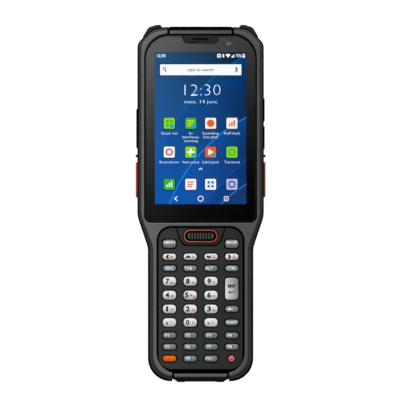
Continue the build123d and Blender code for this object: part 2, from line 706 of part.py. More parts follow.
with BuildPart() as keypad_panel:
    with BuildSketch(Plane.XY.offset(PANEL_LEDGE)):
        add(keypad_plan(0, 0, PANEL_BOTTOM_RADIUS))
    extrude(amount=PANEL_SURFACE - PANEL_LEDGE)
    chamfer(keypad_panel.faces().sort_by(Axis.Z)[-1].edges(), 0.3)
    with BuildSketch(Plane.XY.offset(PANEL_SURFACE)):
        add(island_plan(ISLAND_GROOVE / 2))
        add(island_plan(-ISLAND_GROOVE / 2), mode=Mode.SUBTRACT)
    extrude(amount=-ISLAND_GROOVE_DEPTH, mode=Mode.SUBTRACT)
    # Key openings with a bevelled rim, the ring's opening and the microphone's pinhole
    for grow, plane in ((0, PANEL_LEDGE), (KEY_RIM, PANEL_SURFACE - KEY_RIM)):
        with BuildSketch(Plane.XY.offset(plane)):
            for name, x, y, height, radius in KEYS:
                with Locations((x, y)):
                    RectangleRounded(
                        KEY_WIDTH + 2 * KEY_HOLE_GAP,
                        height + 2 * KEY_HOLE_GAP,
                        radius + KEY_HOLE_GAP - 0.05,
                    )
            with Locations(POWER_KEY_AT):
                Circle(POWER_KEY_RADIUS + KEY_HOLE_GAP)
        extrude(amount=PANEL_SURFACE - plane, taper=-45.0 if grow else 0.0, mode=Mode.SUBTRACT)
    with BuildSketch(Plane.XY.offset(PANEL_LEDGE)):
        with Locations((0, SCAN_KEY_Y)):
            SlotOverall(RING_LENGTH + 0.1, RING_HEIGHT + 0.1)
        with Locations(MIC_AT):
            Circle(MIC_RADIUS)
    extrude(amount=PANEL_SURFACE - PANEL_LEDGE, mode=Mode.SUBTRACT)
save(keypad_panel.part, "keypad_panel")

# ---------------------------------------------------------------- keys
for name, x, y, height, radius in KEYS:
    with BuildPart() as key:
        with BuildSketch(Plane.XY.offset(KEY_BOTTOM)):
            with Locations((x, y)):
                RectangleRounded(
                    KEY_WIDTH + 2 * KEY_FLANGE, height + 2 * KEY_FLANGE, radius + KEY_FLANGE - 0.05
                )
        extrude(amount=KEY_FLANGE_TOP - KEY_BOTTOM)
        with BuildSketch(Plane.XY.offset(KEY_FLANGE_TOP)):
            with Locations((x, y)):
                RectangleRounded(KEY_WIDTH, height, radius)
        extrude(amount=KEY_TOP - KEY_FLANGE_TOP)
        fillet(key.faces().sort_by(Axis.Z)[-1].edges(), KEY_CROWN_RADIUS)
    save(key.part, f"key_{name}")

with BuildPart() as key_power:
    with BuildSketch(Plane.XY.offset(KEY_BOTTOM)):
        with Locations(POWER_KEY_AT):
            Circle(POWER_KEY_RADIUS + KEY_FLANGE + 0.3)
    extrude(amount=KEY_FLANGE_TOP - KEY_BOTTOM)
    with BuildSketch(Plane.XY.offset(KEY_FLANGE_TOP)):
        with Locations(POWER_KEY_AT):
            Circle(POWER_KEY_RADIUS)
    extrude(amount=KEY_TOP - KEY_FLANGE_TOP)
    fillet(key_power.faces().sort_by(Axis.Z)[-1].edges(), KEY_CROWN_RADIUS)
save(key_power.part, "key_power")

# ---------------------------------------------------------------- scan key and its lit ring
with BuildPart() as scan_ring:
    with BuildSketch(Plane.XY.offset(MEMBRANE_TOP)):
        with Locations((0, SCAN_KEY_Y)):
            SlotOverall(RING_LENGTH, RING_HEIGHT)
            SlotOverall(RING_LENGTH - 2 * RING_WIDTH, RING_HEIGHT - 2 * RING_WIDTH, mode=Mode.SUBTRACT)
    extrude(amount=RING_TOP - MEMBRANE_TOP)
    fillet(scan_ring.faces().sort_by(Axis.Z)[-1].edges(), 0.3)
save(scan_ring.part, "scan_ring")

with BuildPart() as scan_button:
    with BuildSketch(Plane.XY.offset(KEY_BOTTOM)):
        with Locations((0, SCAN_KEY_Y)):
            SlotOverall(SCAN_KEY_LENGTH, SCAN_KEY_HEIGHT)
    extrude(amount=SCAN_KEY_SHOULDER - KEY_BOTTOM)
    chamfer(scan_button.faces().sort_by(Axis.Z)[-1].edges(), 0.4)
    with BuildSketch(Plane.XY.offset(SCAN_KEY_SHOULDER)):
        with Locations((0, SCAN_KEY_Y)):
            SlotOverall(SCAN_PAD_LENGTH - 0.8, SCAN_PAD_HEIGHT - 0.8)
    extrude(amount=SCAN_PAD_TOP - SCAN_KEY_SHOULDER)
    with BuildSketch(Plane.XY.offset(SCAN_PAD_TOP)):
        with Locations((0, SCAN_KEY_Y)):
            with GridLocations(SCAN_RIB_PITCH, 0, SCAN_RIBS - 1, 1):
                Rectangle(SCAN_SLOT_WIDTH, SCAN_PAD_HEIGHT)
    extrude(amount=-SCAN_SLOT_DEPTH, mode=Mode.SUBTRACT)
save(scan_button.part, "scan_button")

# ---------------------------------------------------------------- key mat and circuit boards
with BuildPart() as keypad_membrane:
    with BuildSketch(Plane.XY.offset(MEMBRANE_BOTTOM)):
        add(four_corner_plan(MAT_HALF, MAT_LOW, MAT_HIGH, MAT_CORNER_RADIUS, MAT_CORNER_RADIUS))
    extrude(amount=MEMBRANE_TOP - MEMBRANE_BOTTOM)
save(keypad_membrane.part, "keypad_membrane")


with BuildPart() as main_board:
    with BuildSketch(Plane.XY.offset(BOARD_BOTTOM)):
        add(four_corner_plan(BOARD_HEAD_HALF, 0, BOARD_HIGH, 1.0, 3.0))
        add(four_corner_plan(BOARD_GRIP_HALF, BOARD_LOW, 1.0, 2.0, 0.2))
    extrude(amount=BOARD_TOP - BOARD_BOTTOM)
    # Processor and radio shields, key board with its connector, and battery terminals
    block((-20, 48, BOARD_BOTTOM - SHIELD_HEIGHT), (2, 72, BOARD_BOTTOM))
    block((6, 52, BOARD_BOTTOM - SHIELD_HEIGHT), (20, 70, BOARD_BOTTOM))
    with BuildSketch(Plane.XY.offset(KEY_BOARD_BOTTOM)):
        add(four_corner_plan(MAT_HALF, MAT_LOW, MAT_HIGH, MAT_CORNER_RADIUS, MAT_CORNER_RADIUS))
    extrude(amount=MEMBRANE_BOTTOM - KEY_BOARD_BOTTOM)
    block((-9, -50, BOARD_TOP), (9, -45, KEY_BOARD_BOTTOM))
    block((-6, 12, BAY_CEILING + BAY_WALL), (6, 16, BOARD_BOTTOM))
save(main_board.part, "main_board")

# ---------------------------------------------------------------- scan engine and window
with BuildPart() as scan_engine:
    block((-ENGINE_HALF, ENGINE_LOW, BACK_PLANE + WALL), (ENGINE_HALF, ENGINE_HIGH, ENGINE_TOP))
    with BuildSketch(Plane.XZ.offset(-ENGINE_HIGH)):
        with Locations((-5.5, LENS_Z)):
            Circle(3.0)
        with Locations((5.0, LENS_Z)):
            Circle(2.2)
    extrude(amount=-0.8)
    block((-13, ENGINE_LOW, WALL), (13, 90.0, BACK_PLANE + WALL))
save(scan_engine.part, "scan_engine")

with BuildPart() as scan_window:
    with BuildSketch(Plane.XZ.offset(-TOP_END + WINDOW_RECESS + WINDOW_THICK)):
        with Locations((0, (WINDOW_LOW + WINDOW_HIGH) / 2)):
            RectangleRounded(2 * WINDOW_HALF - 0.1, WINDOW_HIGH - WINDOW_LOW - 0.1, 1.9)
    extrude(amount=-WINDOW_THICK)
save(scan_window.part, "scan_window")

# ---------------------------------------------------------------- rear camera
with BuildPart() as rear_camera:
    with BuildSketch(Plane.XY.offset(CAMERA_BACK)):
        with Locations(CAMERA_AT):
            Circle(CAMERA_RADIUS)
    extrude(amount=CAMERA_HEIGHT)
    with BuildSketch(Plane.XY.offset(CAMERA_BACK)):
        with Locations(CAMERA_AT):
            Circle(CAMERA_RADIUS - 1.4)
    extrude(amount=0.8, mode=Mode.SUBTRACT)
    with BuildSketch(Plane.XY.offset(CAMERA_BACK + 0.4)):
        with Locations(CAMERA_AT):
            Circle(CAMERA_RADIUS - 2.4)
    extrude(amount=0.6)
save(rear_camera.part, "rear_camera")

# ---------------------------------------------------------------- housing screws
with BuildPart() as housing_screws:
    for x, y, seat in SCREW_PLACES:
        with BuildSketch(Plane.XY.offset(seat)):
            with Locations((x, y), (-x, y)):
                Circle(SCREW_SHANK_RADIUS)
        extrude(amount=SCREW_TIP - seat)
        with BuildSketch(Plane.XY.offset(seat)):
            with Locations((x, y), (-x, y)):
                Circle(SCREW_HEAD_RADIUS)
        extrude(amount=-SCREW_HEAD_HEIGHT)
        with BuildSketch(Plane.XY.offset(seat - SCREW_HEAD_HEIGHT)):
            with Locations((x, y), (-x, y)):
                RegularPolygon(1.2, 6)
        extrude(amount=1.0, mode=Mode.SUBTRACT)
save(housing_screws.part, "housing_screws")


# ---------------------------------------------------------------- side keys and triggers
def side_button(side, span, bottom, top, rounding):
    """A key in the flank: a flange behind the wall and a body through the opening."""
    low, high, proud = span
    middle = ((low + high) / 2, (bottom + top) / 2)
    inner = HEAD_HALF - WALL - FIT_GAP
    with BuildPart() as button:
        with BuildSketch(Plane.YZ.offset(side * (inner - 1.0))):
            with Locations(middle):
                RectangleRounded(high - low + 2 * SIDE_FLANGE, top - bottom + 2 * SIDE_FLANGE, 0.8)
        extrude(amount=side * 1.0)
        with BuildSketch(Plane.YZ.offset(side * inner)):
            with Locations(middle):
                RectangleRounded(high - low, top - bottom, (top - bottom) / 2 - 0.25)
        extrude(amount=side * (HEAD_HALF + proud - inner))
        outer = button.faces().sort_by(Axis.X)[-1 if side > 0 else 0]
        fillet(outer.edges(), rounding)
    return button.part


save(side_button(-1, LEFT_KEY, SIDE_KEY_LOW, SIDE_KEY_HIGH, 0.4), "side_key_left")
save(side_button(1, UPPER_RIGHT_KEY, SIDE_KEY_LOW, SIDE_KEY_HIGH, 0.3), "side_key_upper_right")
save(side_button(1, LOWER_RIGHT_KEY, SIDE_KEY_LOW, SIDE_KEY_HIGH, 0.3), "side_key_lower_right")
save(side_button(-1, TRIGGER, TRIGGER_LOW, TRIGGER_HIGH, 0.5), "trigger_left")
save(side_button(1, TRIGGER, TRIGGER_LOW, TRIGGER_HIGH, 0.5), "trigger_right")

# ---------------------------------------------------------------- battery pack
with BuildPart() as battery_pack:
    with BuildSketch(Plane.YZ):
        with BuildLine():
            Polyline(
                (PACK_LOW, PACK_FRONT),
                (PACK_LOW, PACK_BACK + 1.5),
                (PACK_LOW + 1.5, PACK_BACK),
                (PACK_HIGH - PACK_BEVEL, PACK_BACK),
                (PACK_HIGH, PACK_BACK + PACK_BEVEL),
                (PACK_HIGH, PACK_FRONT),
                close=True,
            )
        make_face()
    extrude(amount=PACK_HALF, both=True)
    fillet(battery_pack.edges().filter_by(Axis.Y).group_by(Axis.Z)[0], 2.0)
    with BuildSketch(Plane.XY.offset(PACK_BACK)):
        with Locations((0, PACK_GROOVE_Y)):
            with GridLocations(0, PACK_GROOVE_PITCH, 1, PACK_GROOVES):
                SlotOverall(PACK_GROOVE_LENGTH, PACK_GROOVE_WIDTH)
    extrude(amount=PACK_GROOVE_DEPTH, mode=Mode.SUBTRACT)
    # Tabs that hook into the housing, and the recess that the latch catches
    with BuildSketch(Plane.YZ):
        with Locations((PACK_HINGE_Y, PACK_HINGE_Z)):
            Circle(TAB_PIN_RADIUS)
        with Locations(((PACK_HINGE_Y + PACK_HIGH - 1.0) / 2, PACK_HINGE_Z)):
            Rectangle(PACK_HINGE_Y - PACK_HIGH + 1.0, TAB_THICK)
    extrude(amount=TAB_X + TAB_WIDTH / 2, both=True)
    tab_low = TAB_X - TAB_WIDTH / 2
    block((-tab_low, PACK_HIGH, 0), (tab_low, BAY_HIGH + 5, BAY_CEILING), mode=Mode.SUBTRACT)
    block((-4.0, PACK_LOW, 5.6), (4.0, PACK_LOW + 1.5, 9.0), mode=Mode.SUBTRACT)
save(battery_pack.part, "battery_pack")

# ---------------------------------------------------------------- battery latch
with BuildPart() as battery_latch:
    block((-LATCH_HALF, LATCH_LOW, LATCH_OUTER), (LATCH_HALF, LATCH_HIGH, LATCH_INNER))
    chamfer(battery_latch.faces().sort_by(Axis.Z)[0].edges(), 0.3)
    tongue_low = LATCH_LOW + TONGUE_SETBACK
    block((-TONGUE_HALF, tongue_low, LATCH_INNER), (TONGUE_HALF, BAY_LOW + 0.1, TONGUE_TOP))
    with BuildSketch(Plane.XY.offset(LATCH_OUTER)):
        with Locations((0, (LATCH_LOW + LATCH_HIGH) / 2)):
            with GridLocations(0, 1.2, 1, 4):
                Rectangle(2 * LATCH_HALF - 2.4, 0.5)
    extrude(amount=0.4, mode=Mode.SUBTRACT)
save(battery_latch.part, "battery_latch")

# ---------------------------------------------------------------- port cover
with BuildPart() as port_cover:
    with BuildSketch(Plane.YZ):
        with BuildLine():
            Polyline(
                (COVER_INNER, COVER_AXIS_Z),
                (COVER_INNER, LIP_FLOOR + 0.2),
                (LIP_INNER, LIP_FLOOR + 0.2),
                (LIP_INNER, CREST_PLANE),
                (COVER_CREST_LOW, CREST_PLANE),
                (COVER_BAND, BAND_PLANE + 0.5),
                (COVER_BAND, COVER_LEDGE),
                (COVER_OUTER, COVER_LEDGE - 0.6),
                (COVER_OUTER, COVER_AXIS_Z),
                close=True,
            )
        make_face()
        with Locations((COVER_AXIS_Y, COVER_AXIS_Z)):
            Circle(1.2)
    extrude(amount=COVER_HALF, both=True)
    with BuildSketch(Plane.XY):
        with BuildLine():
            Polyline(
                (COVER_HALF, LIP_INNER),
                (COVER_HALF, COVER_OUTER + 1.7),
                (COVER_HALF - 2.2, COVER_OUTER),
                (-COVER_HALF + 2.2, COVER_OUTER),
                (-COVER_HALF, COVER_OUTER + 1.7),
                (-COVER_HALF, LIP_INNER),
                close=True,
            )
        make_face()
    extrude(amount=CREST_PLANE, mode=Mode.INTERSECT)
    block(
        (-THUMB_HALF, COVER_OUTER - 1.0, COVER_AXIS_Z + 3.0),
        (THUMB_HALF, COVER_OUTER + THUMB_DEPTH, COVER_LEDGE + 1.0),
        mode=Mode.SUBTRACT,
    )
    # Trunnions that the cover swings on, and the plug that closes the port recess
    with BuildSketch(Plane.YZ):
        with Locations((COVER_AXIS_Y, COVER_AXIS_Z)):
            Circle(TRUNNION_RADIUS)
    extrude(amount=COVER_HALF + COVER_GAP + 1.1, both=True)
    with BuildSketch(Plane.XZ.offset(-COVER_INNER)):
        with Locations((0, PORT_Z)):
            RectangleRounded(2 * PORT_RECESS_HALF - 1.2, PORT_RECESS_HEIGHT - 1.2, 1.5)
    extrude(amount=-1.8)
save(port_cover.part, "port_cover")
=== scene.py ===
# %% [markdown]
# # A rugged data terminal, dressed for its picture
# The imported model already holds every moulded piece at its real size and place. This script adds what
# a solid model leaves out: finishes, printed keys, cover glass, a lit screen, seals and wire cloth.
# Lengths are written in millimetres and become metres in one place, so that each number can be
# checked with a ruler on the real thing.

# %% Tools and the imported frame
import json
import math

import bmesh
import bpy
from mathutils import Matrix, Vector


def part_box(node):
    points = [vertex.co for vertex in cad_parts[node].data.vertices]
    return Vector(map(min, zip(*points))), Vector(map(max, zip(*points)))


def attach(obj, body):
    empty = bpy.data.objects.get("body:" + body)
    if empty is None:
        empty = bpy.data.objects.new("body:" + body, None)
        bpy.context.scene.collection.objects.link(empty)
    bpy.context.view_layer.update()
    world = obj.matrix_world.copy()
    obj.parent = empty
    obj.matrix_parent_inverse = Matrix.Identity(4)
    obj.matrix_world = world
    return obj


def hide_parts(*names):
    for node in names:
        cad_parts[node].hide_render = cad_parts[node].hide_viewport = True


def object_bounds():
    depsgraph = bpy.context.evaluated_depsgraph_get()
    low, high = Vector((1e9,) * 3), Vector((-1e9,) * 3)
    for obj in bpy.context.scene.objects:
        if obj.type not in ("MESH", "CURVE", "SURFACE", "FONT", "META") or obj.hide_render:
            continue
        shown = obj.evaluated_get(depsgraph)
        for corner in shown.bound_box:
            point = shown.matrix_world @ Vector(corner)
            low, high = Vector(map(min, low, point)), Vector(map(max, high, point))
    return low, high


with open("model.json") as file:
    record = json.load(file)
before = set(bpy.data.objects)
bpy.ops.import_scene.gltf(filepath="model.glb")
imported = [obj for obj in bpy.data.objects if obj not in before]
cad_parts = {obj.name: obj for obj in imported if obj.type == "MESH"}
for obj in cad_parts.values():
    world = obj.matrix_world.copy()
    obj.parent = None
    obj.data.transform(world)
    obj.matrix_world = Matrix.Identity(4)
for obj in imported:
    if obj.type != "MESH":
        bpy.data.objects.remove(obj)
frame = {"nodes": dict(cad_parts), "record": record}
nodes = frame["nodes"]
cad_box = [list(corner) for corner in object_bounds()]
MM = 0.001
cad_size = [round((high - low) / MM, 1) for low, high in zip(*cad_box)]
print("pieces in the frame:", len(nodes), "size in mm:", cad_size)

# %% [markdown]
# ## Reading sizes from the frame
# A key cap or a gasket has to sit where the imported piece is. Its corners come from the frame, so
# nothing is typed twice.


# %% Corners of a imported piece
def corners_of(node):
    """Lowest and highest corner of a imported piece, in millimetres."""
    low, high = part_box(node)
    return low / MM, high / MM


glass_low, glass_high = corners_of("screen_glass")
panel_low, panel_high = corners_of("keypad_panel")
print("cover glass from", [round(v, 2) for v in glass_low], "to", [round(v, 2) for v in glass_high])

# %% [markdown]
# ## The camera
# The terminal is seen square from the front with a long lens, so that its flanks hardly show. The
# picture's width at the crest of the rails and the lens give the distance.

# %% Camera
SENSOR_WIDTH = 36.0
LENS = 300.0
PICTURE_SIDE = 400
MM_PER_PIXEL = 0.568
CREST_HEIGHT = 29.0
AIM_X = -0.34
AIM_Y = 1.98

camera_distance = PICTURE_SIDE * MM_PER_PIXEL * LENS / SENSOR_WIDTH
camera_data = bpy.data.cameras.new("product_camera")
camera_data.sensor_width = SENSOR_WIDTH
camera_data.lens = LENS
camera_data.clip_start = 0.05
camera_data.clip_end = 20.0
camera = bpy.data.objects.new("product_camera", camera_data)
camera.location = Vector((AIM_X, AIM_Y, CREST_HEIGHT + camera_distance)) * MM
bpy.context.scene.collection.objects.link(camera)
bpy.context.scene.camera = camera
print("camera height in m:", round(camera.location.z, 3))

# %% [markdown]
# ## Colours and nodes
# Colours are written as sRGB hex, as a paint card gives them, and shaders want them linear. One
# helper adds a node with its settings, its constant inputs and its links, so that a material reads as
# a short list.

# %% Colour and node helpers
SMOOTH = {"interpolation_type": "SMOOTHSTEP"}


def linear(code):
    """sRGB hex colour to linear RGBA."""
    channels = [int(code[i : i + 2], 16) / 255 for i in (1, 3, 5)]
    return [c / 12.92 if c <= 0.04045 else ((c + 0.055) / 1.055) ** 2.4 for c in channels] + [1.0]


def add_node(tree, kind, inputs=(), links=(), **settings):
    """Adds a node: settings go on the node, inputs on its sockets, links lead from (node, output)."""
    node = tree.nodes.new(kind)
    for key, value in settings.items():
        setattr(node, key, value)
    for key, value in dict(inputs).items():
        node.inputs[key].default_value = value
    for key, (source, output) in dict(links).items():
        tree.links.new(source.outputs[output], node.inputs[key])
    return node


def start_material(name, colour, roughness, **sockets):
    """A principled surface with its constant values set on its own sockets."""
    material = bpy.data.materials.new(name)
    material.use_nodes = True
    surface = material.node_tree.nodes["Principled BSDF"]
    surface.inputs["Base Color"].default_value = linear(colour)
    surface.inputs["Roughness"].default_value = roughness
    for key, value in sockets.items():
        surface.inputs[key.replace("_", " ")].default_value = value
    return material, surface


def object_axes(tree):
    """Node whose X, Y and Z outputs are the place of a point on its object, in metres."""
    where = add_node(tree, "ShaderNodeTexCoord")
    return add_node(tree, "ShaderNodeSeparateXYZ", links={"Vector": (where, "Object")})


def set_stops(ramp, stops):
    """Gives a colour ramp its stops, each a position and a hex colour, from the first to the last."""
    first, last = ramp.elements
    first.position, last.position = stops[0][0], stops[-1][0]
    first.color, last.color = linear(stops[0][1]), linear(stops[-1][1])
    for position, code in stops[1:-1]:
        ramp.elements.new(position).color = linear(code)


# %% [markdown]
# ## Moulded surfaces
# Nearly every outer piece is injection moulded: the steel tool is etched with a fine spark grain,
# which the plastic copies. The eye gets a matt surface with a faint sparkle, and a slow drift of tone
# where the melt cooled unevenly. Two noises do both: a fine one drives bump and roughness, a wide
# one drives the tone. The real grain is about 0.15 mm; it is drawn coarser so that it can show.

# %% Measures of grain, and of the painted light by side
GRAIN_MM = 0.9
GRAIN_DEPTH_MM = 0.03
DRIFT_MM = 18.0
DRIFT_SHARE = 0.05
# A noise hardly ever leaves the range from 0.3 to 0.7.
NOISE_RANGE = {"From Min": 0.3, "From Max": 0.7}
# How much lighter the left side and darker the right side are painted, as painted light from the left.
PAINTED_LIGHT_LEAN = 0.26
LEAN_FROM = 28.3
LEAN_RISE = 0.2
BODY_HALF = 36.0


# %% Noise on a surface
def roughened(tree, surface, noise, span, relief):
    """Lets a noise drive the roughness of a surface, within a span, and its bump."""
    sheen = add_node(tree, "ShaderNodeMapRange", span, {"Value": (noise, "Fac")})
    bump = add_node(tree, "ShaderNodeBump", relief, {"Height": (noise, "Fac")})
    tree.links.new(sheen.outputs["Result"], surface.inputs["Roughness"])
    tree.links.new(bump.outputs["Normal"], surface.inputs["Normal"])


# %% Tone by height, with painted light and shade
def height_tone_with_painted_light(tree, wide, tones_by_height, lean_amount, lean_from):
    """Colour by height, where lighter crests and darker slopes and grooves are painted light and shade; it
    drifts a little, and its left side is painted lighter as painted light.
    """
    axes = object_axes(tree)
    low, high = tones_by_height[0][0], tones_by_height[-1][0]
    span = {"From Min": low * MM, "From Max": high * MM}
    share = add_node(tree, "ShaderNodeMapRange", span, {"Value": (axes, "Z")})
    height_ramp = add_node(tree, "ShaderNodeValToRGB", links={"Fac": (share, "Result")})
    set_stops(height_ramp.color_ramp, [((height - low) / (high - low), code) for height, code in tones_by_height])
    span = {"From Min": -BODY_HALF * MM, "From Max": BODY_HALF * MM}
    span |= {"To Min": lean_amount, "To Max": -lean_amount}
    painted_lean = add_node(tree, "ShaderNodeMapRange", span, {"Value": (axes, "X")})
    span = {"From Min": lean_from * MM, "From Max": (lean_from + LEAN_RISE) * MM}
    above = add_node(tree, "ShaderNodeMapRange", span, {"Value": (axes, "Z")})
    factors = {0: (painted_lean, "Result"), 1: (above, "Result")}
    leaning = add_node(tree, "ShaderNodeMath", {2: 1.0}, factors, operation="MULTIPLY_ADD")
    span = NOISE_RANGE | {"To Min": 1 - DRIFT_SHARE, "To Max": 1 + DRIFT_SHARE}
    drift = add_node(tree, "ShaderNodeMapRange", span, {"Value": (wide, "Fac")})
    factors = {0: (leaning, "Value"), 1: (drift, "Result")}
    amount = add_node(tree, "ShaderNodeMath", links=factors, operation="MULTIPLY")
    factors = {0: (height_ramp, "Color"), "Scale": (amount, "Value")}
    return add_node(tree, "ShaderNodeVectorMath", links=factors, operation="SCALE")


# %% Moulded plastic and rubber
def moulded(
    name,
    colour,
    drift_colour,
    roughness,
    grain=GRAIN_MM,
    depth=GRAIN_DEPTH_MM,
    tones_by_height=None,
    painted_lean=PAINTED_LIGHT_LEAN,
    lean_from=LEAN_FROM,
    **sockets,
):
    """Grained plastic or rubber. tones_by_height = ((height in mm, colour), ...) replaces the colour by
    height, and painted_lean then makes the left side lighter as painted light.
    """
    material, surface = start_material(name, colour, roughness, **sockets)
    tree = material.node_tree
    where = {"Vector": (add_node(tree, "ShaderNodeTexCoord"), "Object")}
    pattern = {"Scale": 1 / (grain * MM), "Detail": 3.0, "Roughness": 0.6}
    fine = add_node(tree, "ShaderNodeTexNoise", pattern, where)
    wide = add_node(tree, "ShaderNodeTexNoise", {"Scale": 1 / (DRIFT_MM * MM), "Detail": 2.0}, where)
    span = NOISE_RANGE | {"To Min": roughness - 0.06, "To Max": roughness + 0.08}
    roughened(tree, surface, fine, span, {"Strength": 0.35, "Distance": depth * MM})
    if tones_by_height:
        tone, output = height_tone_with_painted_light(tree, wide, tones_by_height, painted_lean, lean_from), "Vector"
    else:
        tones = {6: linear(colour), 7: linear(drift_colour)}
        tone, output = add_node(tree, "ShaderNodeMix", tones, {"Factor": (wide, "Fac")}, data_type="RGBA"), 2
    tree.links.new(tone.outputs[output], surface.inputs["Base Color"])
    return material


# %% [markdown]
# ### Housing plastics
# The shells are a PC/ABS blend. On the front frame, the top cap and the port cover the tone follows
# the height, with painted light and shade: the rails' flat crest is lighter, the slope below it is
# painted darker as shade, and a thin lighter line along the crest's edge is a painted highlight. The
# groove below is painted nearly black as shade, and the band under that stays charcoal, its own
# colour. The back shell and the battery have a coarser, darker grain for grip.

# %% Housing materials
# Each tone list gives heights in mm with the colour there.
CHARCOAL = "#1a1b1c"
RAIL_TONE = "#606162"
# The lighter line along the crest's chamfered edge is a painted highlight.
RAIL_EDGE_HIGHLIGHT = "#6f7070"
RAIL_TOP = ((28.35, "#3f3f40"), (28.55, RAIL_EDGE_HIGHLIGHT), (28.95, RAIL_EDGE_HIGHLIGHT), (28.99, RAIL_TONE))
# Nearly black in the groove is painted shade; the charcoal below it is the band's own colour.
CHARCOAL_AND_GROOVE_SHADE = ((20.0, CHARCOAL), (24.3, CHARCOAL), (24.9, "#030303"), (25.7, "#040404"))
# The darker slope below the crest is painted shade.
SLOPE_SHADE = ((26.15, "#202021"), (26.6, "#464647"), (27.1, "#414142"), (27.7, "#3f3f40"))
# On the top cap the slope and the groove are painted black as shade, above the charcoal band.
CAP_CHARCOAL_AND_GROOVE_SHADE = ((20.0, CHARCOAL), (25.0, CHARCOAL), (25.7, "#010101"), (28.1, "#060606"))
# A thin lighter line on the cap's slope is a painted highlight.
CAP_HIGHLIGHT_LINE = ((28.17, "#2c2c2d"), (28.24, "#2c2c2d"), (28.3, "#080809"))
CAP_CREST = ((28.58, "#0c0c0d"), (28.72, "#58595a"))
frame_plastic = moulded(
    "front_frame_pc_abs_painted_shade_by_height",
    RAIL_TONE,
    RAIL_TONE,
    0.6,
    tones_by_height=CHARCOAL_AND_GROOVE_SHADE + SLOPE_SHADE + RAIL_TOP,
    Specular_IOR_Level=0.0,
)
cap_plastic = moulded(
    "top_cap_pc_abs_painted_shade_by_height",
    RAIL_TONE,
    RAIL_TONE,
    0.6,
    tones_by_height=CAP_CHARCOAL_AND_GROOVE_SHADE + CAP_HIGHLIGHT_LINE + CAP_CREST,
    Specular_IOR_Level=0.0,
)
COARSE = {"grain": 1.3, "depth": 0.06}
housing_plastic = moulded(
    "back_shell_pc_abs_coarse_grain", "#161718", "#1b1c1d", 0.62, Specular_IOR_Level=0.3, **COARSE
)
battery_plastic = moulded(
    "battery_shell_abs_coarse_grain", "#18191a", "#1f2021", 0.6, Specular_IOR_Level=0.35, **COARSE
)
latch_plastic = moulded("latch_acetal_matt", "#262728", "#2c2d2d", 0.48, Specular_IOR_Level=0.45)
# The keypad panel is painted nearly black low down, in its key holes, as shade, and lighter on the left than
# on the right, as painted light.
panel_plastic = moulded(
    "keypad_panel_polycarbonate_satin",
    "#333536",
    "#333536",
    0.55,
    grain=0.8,
    depth=0.02,
    tones_by_height=((27.0, "#0a0a0b"), (27.4, "#313333"), (28.4, "#313333")),
    painted_lean=0.4,
    lean_from=27.0,
    Specular_IOR_Level=0.3,
)

# %% [markdown]
# ### Local painted shade
# Around the scan key's ring the panel is painted a dark red shade, and the tall key cap is painted
# darker on its right side and towards its top, as shade. Where the frame meets the top cap and the
# port cover, the edges drop into a joint that no light reaches, painted black as shade. All of these
# are laid over the tone that a material already has.


# %% Laying a tone over a material
def laid_over(material, blend_type, share, colour_or_node):
    """Mixes a colour, or the value of a (node, output) pair, over the base colour of a material."""
    tree = material.node_tree
    surface = tree.nodes["Principled BSDF"]
    link = surface.inputs["Base Color"].links[0]
    mix = add_node(tree, "ShaderNodeMix", data_type="RGBA", blend_type=blend_type)
    tree.links.new(link.from_socket, mix.inputs[6])
    if isinstance(colour_or_node, str):
        mix.inputs[7].default_value = linear(colour_or_node)
    else:
        tree.links.new(colour_or_node[0].outputs[colour_or_node[1]], mix.inputs[7])
    if share is None:
        mix.inputs["Factor"].default_value = 1.0
    else:
        tree.links.new(share[0].outputs[share[1]], mix.inputs["Factor"])
    tree.links.new(mix.outputs[2], surface.inputs["Base Color"])


# %% Painted shade around the scan ring
RING_Y = -18.46
RING_STRAIGHT = 6.0
RING_RADIUS = 3.7
HALO_FROM_MM = 0.1
HALO_MM = 1.0


def painted_ring_shade(material, colour):
    """Darkens a material close around the scan ring as painted shade, by the distance to the ring's outline.
    """
    tree = material.node_tree
    axes = object_axes(tree)
    aside = add_node(tree, "ShaderNodeMath", links={0: (axes, "X")}, operation="ABSOLUTE")
    past_end = add_node(
        tree, "ShaderNodeMath", {1: RING_STRAIGHT * MM}, {0: (aside, "Value")}, operation="SUBTRACT"
    )
    beyond = add_node(tree, "ShaderNodeMath", {1: 0.0}, {0: (past_end, "Value")}, operation="MAXIMUM")
    above = add_node(tree, "ShaderNodeMath", {1: RING_Y * MM}, {0: (axes, "Y")}, operation="SUBTRACT")
    offset = add_node(tree, "ShaderNodeCombineXYZ", links={"X": (beyond, "Value"), "Y": (above, "Value")})
    reach = add_node(tree, "ShaderNodeVectorMath", links={0: (offset, "Vector")}, operation="LENGTH")
    start, end = (RING_RADIUS + HALO_FROM_MM) * MM, (RING_RADIUS + HALO_MM) * MM
    span = {"From Min": start, "From Max": end, "To Min": 1.0, "To Max": 0.0}
    halo = add_node(tree, "ShaderNodeMapRange", span, {"Value": (reach, "Value")}, **SMOOTH)
    laid_over(material, "MIX", (halo, "Result"), colour)


# The dark red around the scan ring is painted shade.
painted_ring_shade(panel_plastic, "#1a0503")


# %% Painted shade: fades and joints
JOINT_SHADE_TONE = "#020202"


def painted_shade_across(material, start, end, least, axis="X"):
    """Fades the tone of a material along an axis as painted shade: whole at start, the least share at end,
    both in mm.
    """
    tree = material.node_tree
    span = {"From Min": start * MM, "From Max": end * MM, "To Min": 1.0, "To Max": least}
    share = add_node(tree, "ShaderNodeMapRange", span, {"Value": (object_axes(tree), axis)})
    laid_over(material, "MULTIPLY", None, (share, "Result"))


def painted_end_shade(material, from_x):
    """Blackens a material past a distance from the middle as painted shade, where its chamfer drops into the
    joint.
    """
    tree = material.node_tree
    aside = add_node(tree, "ShaderNodeMath", links={0: (object_axes(tree), "X")}, operation="ABSOLUTE")
    past = add_node(tree, "ShaderNodeMath", {1: from_x * MM}, {0: (aside, "Value")}, operation="GREATER_THAN")
    laid_over(material, "MIX", (past, "Value"), JOINT_SHADE_TONE)


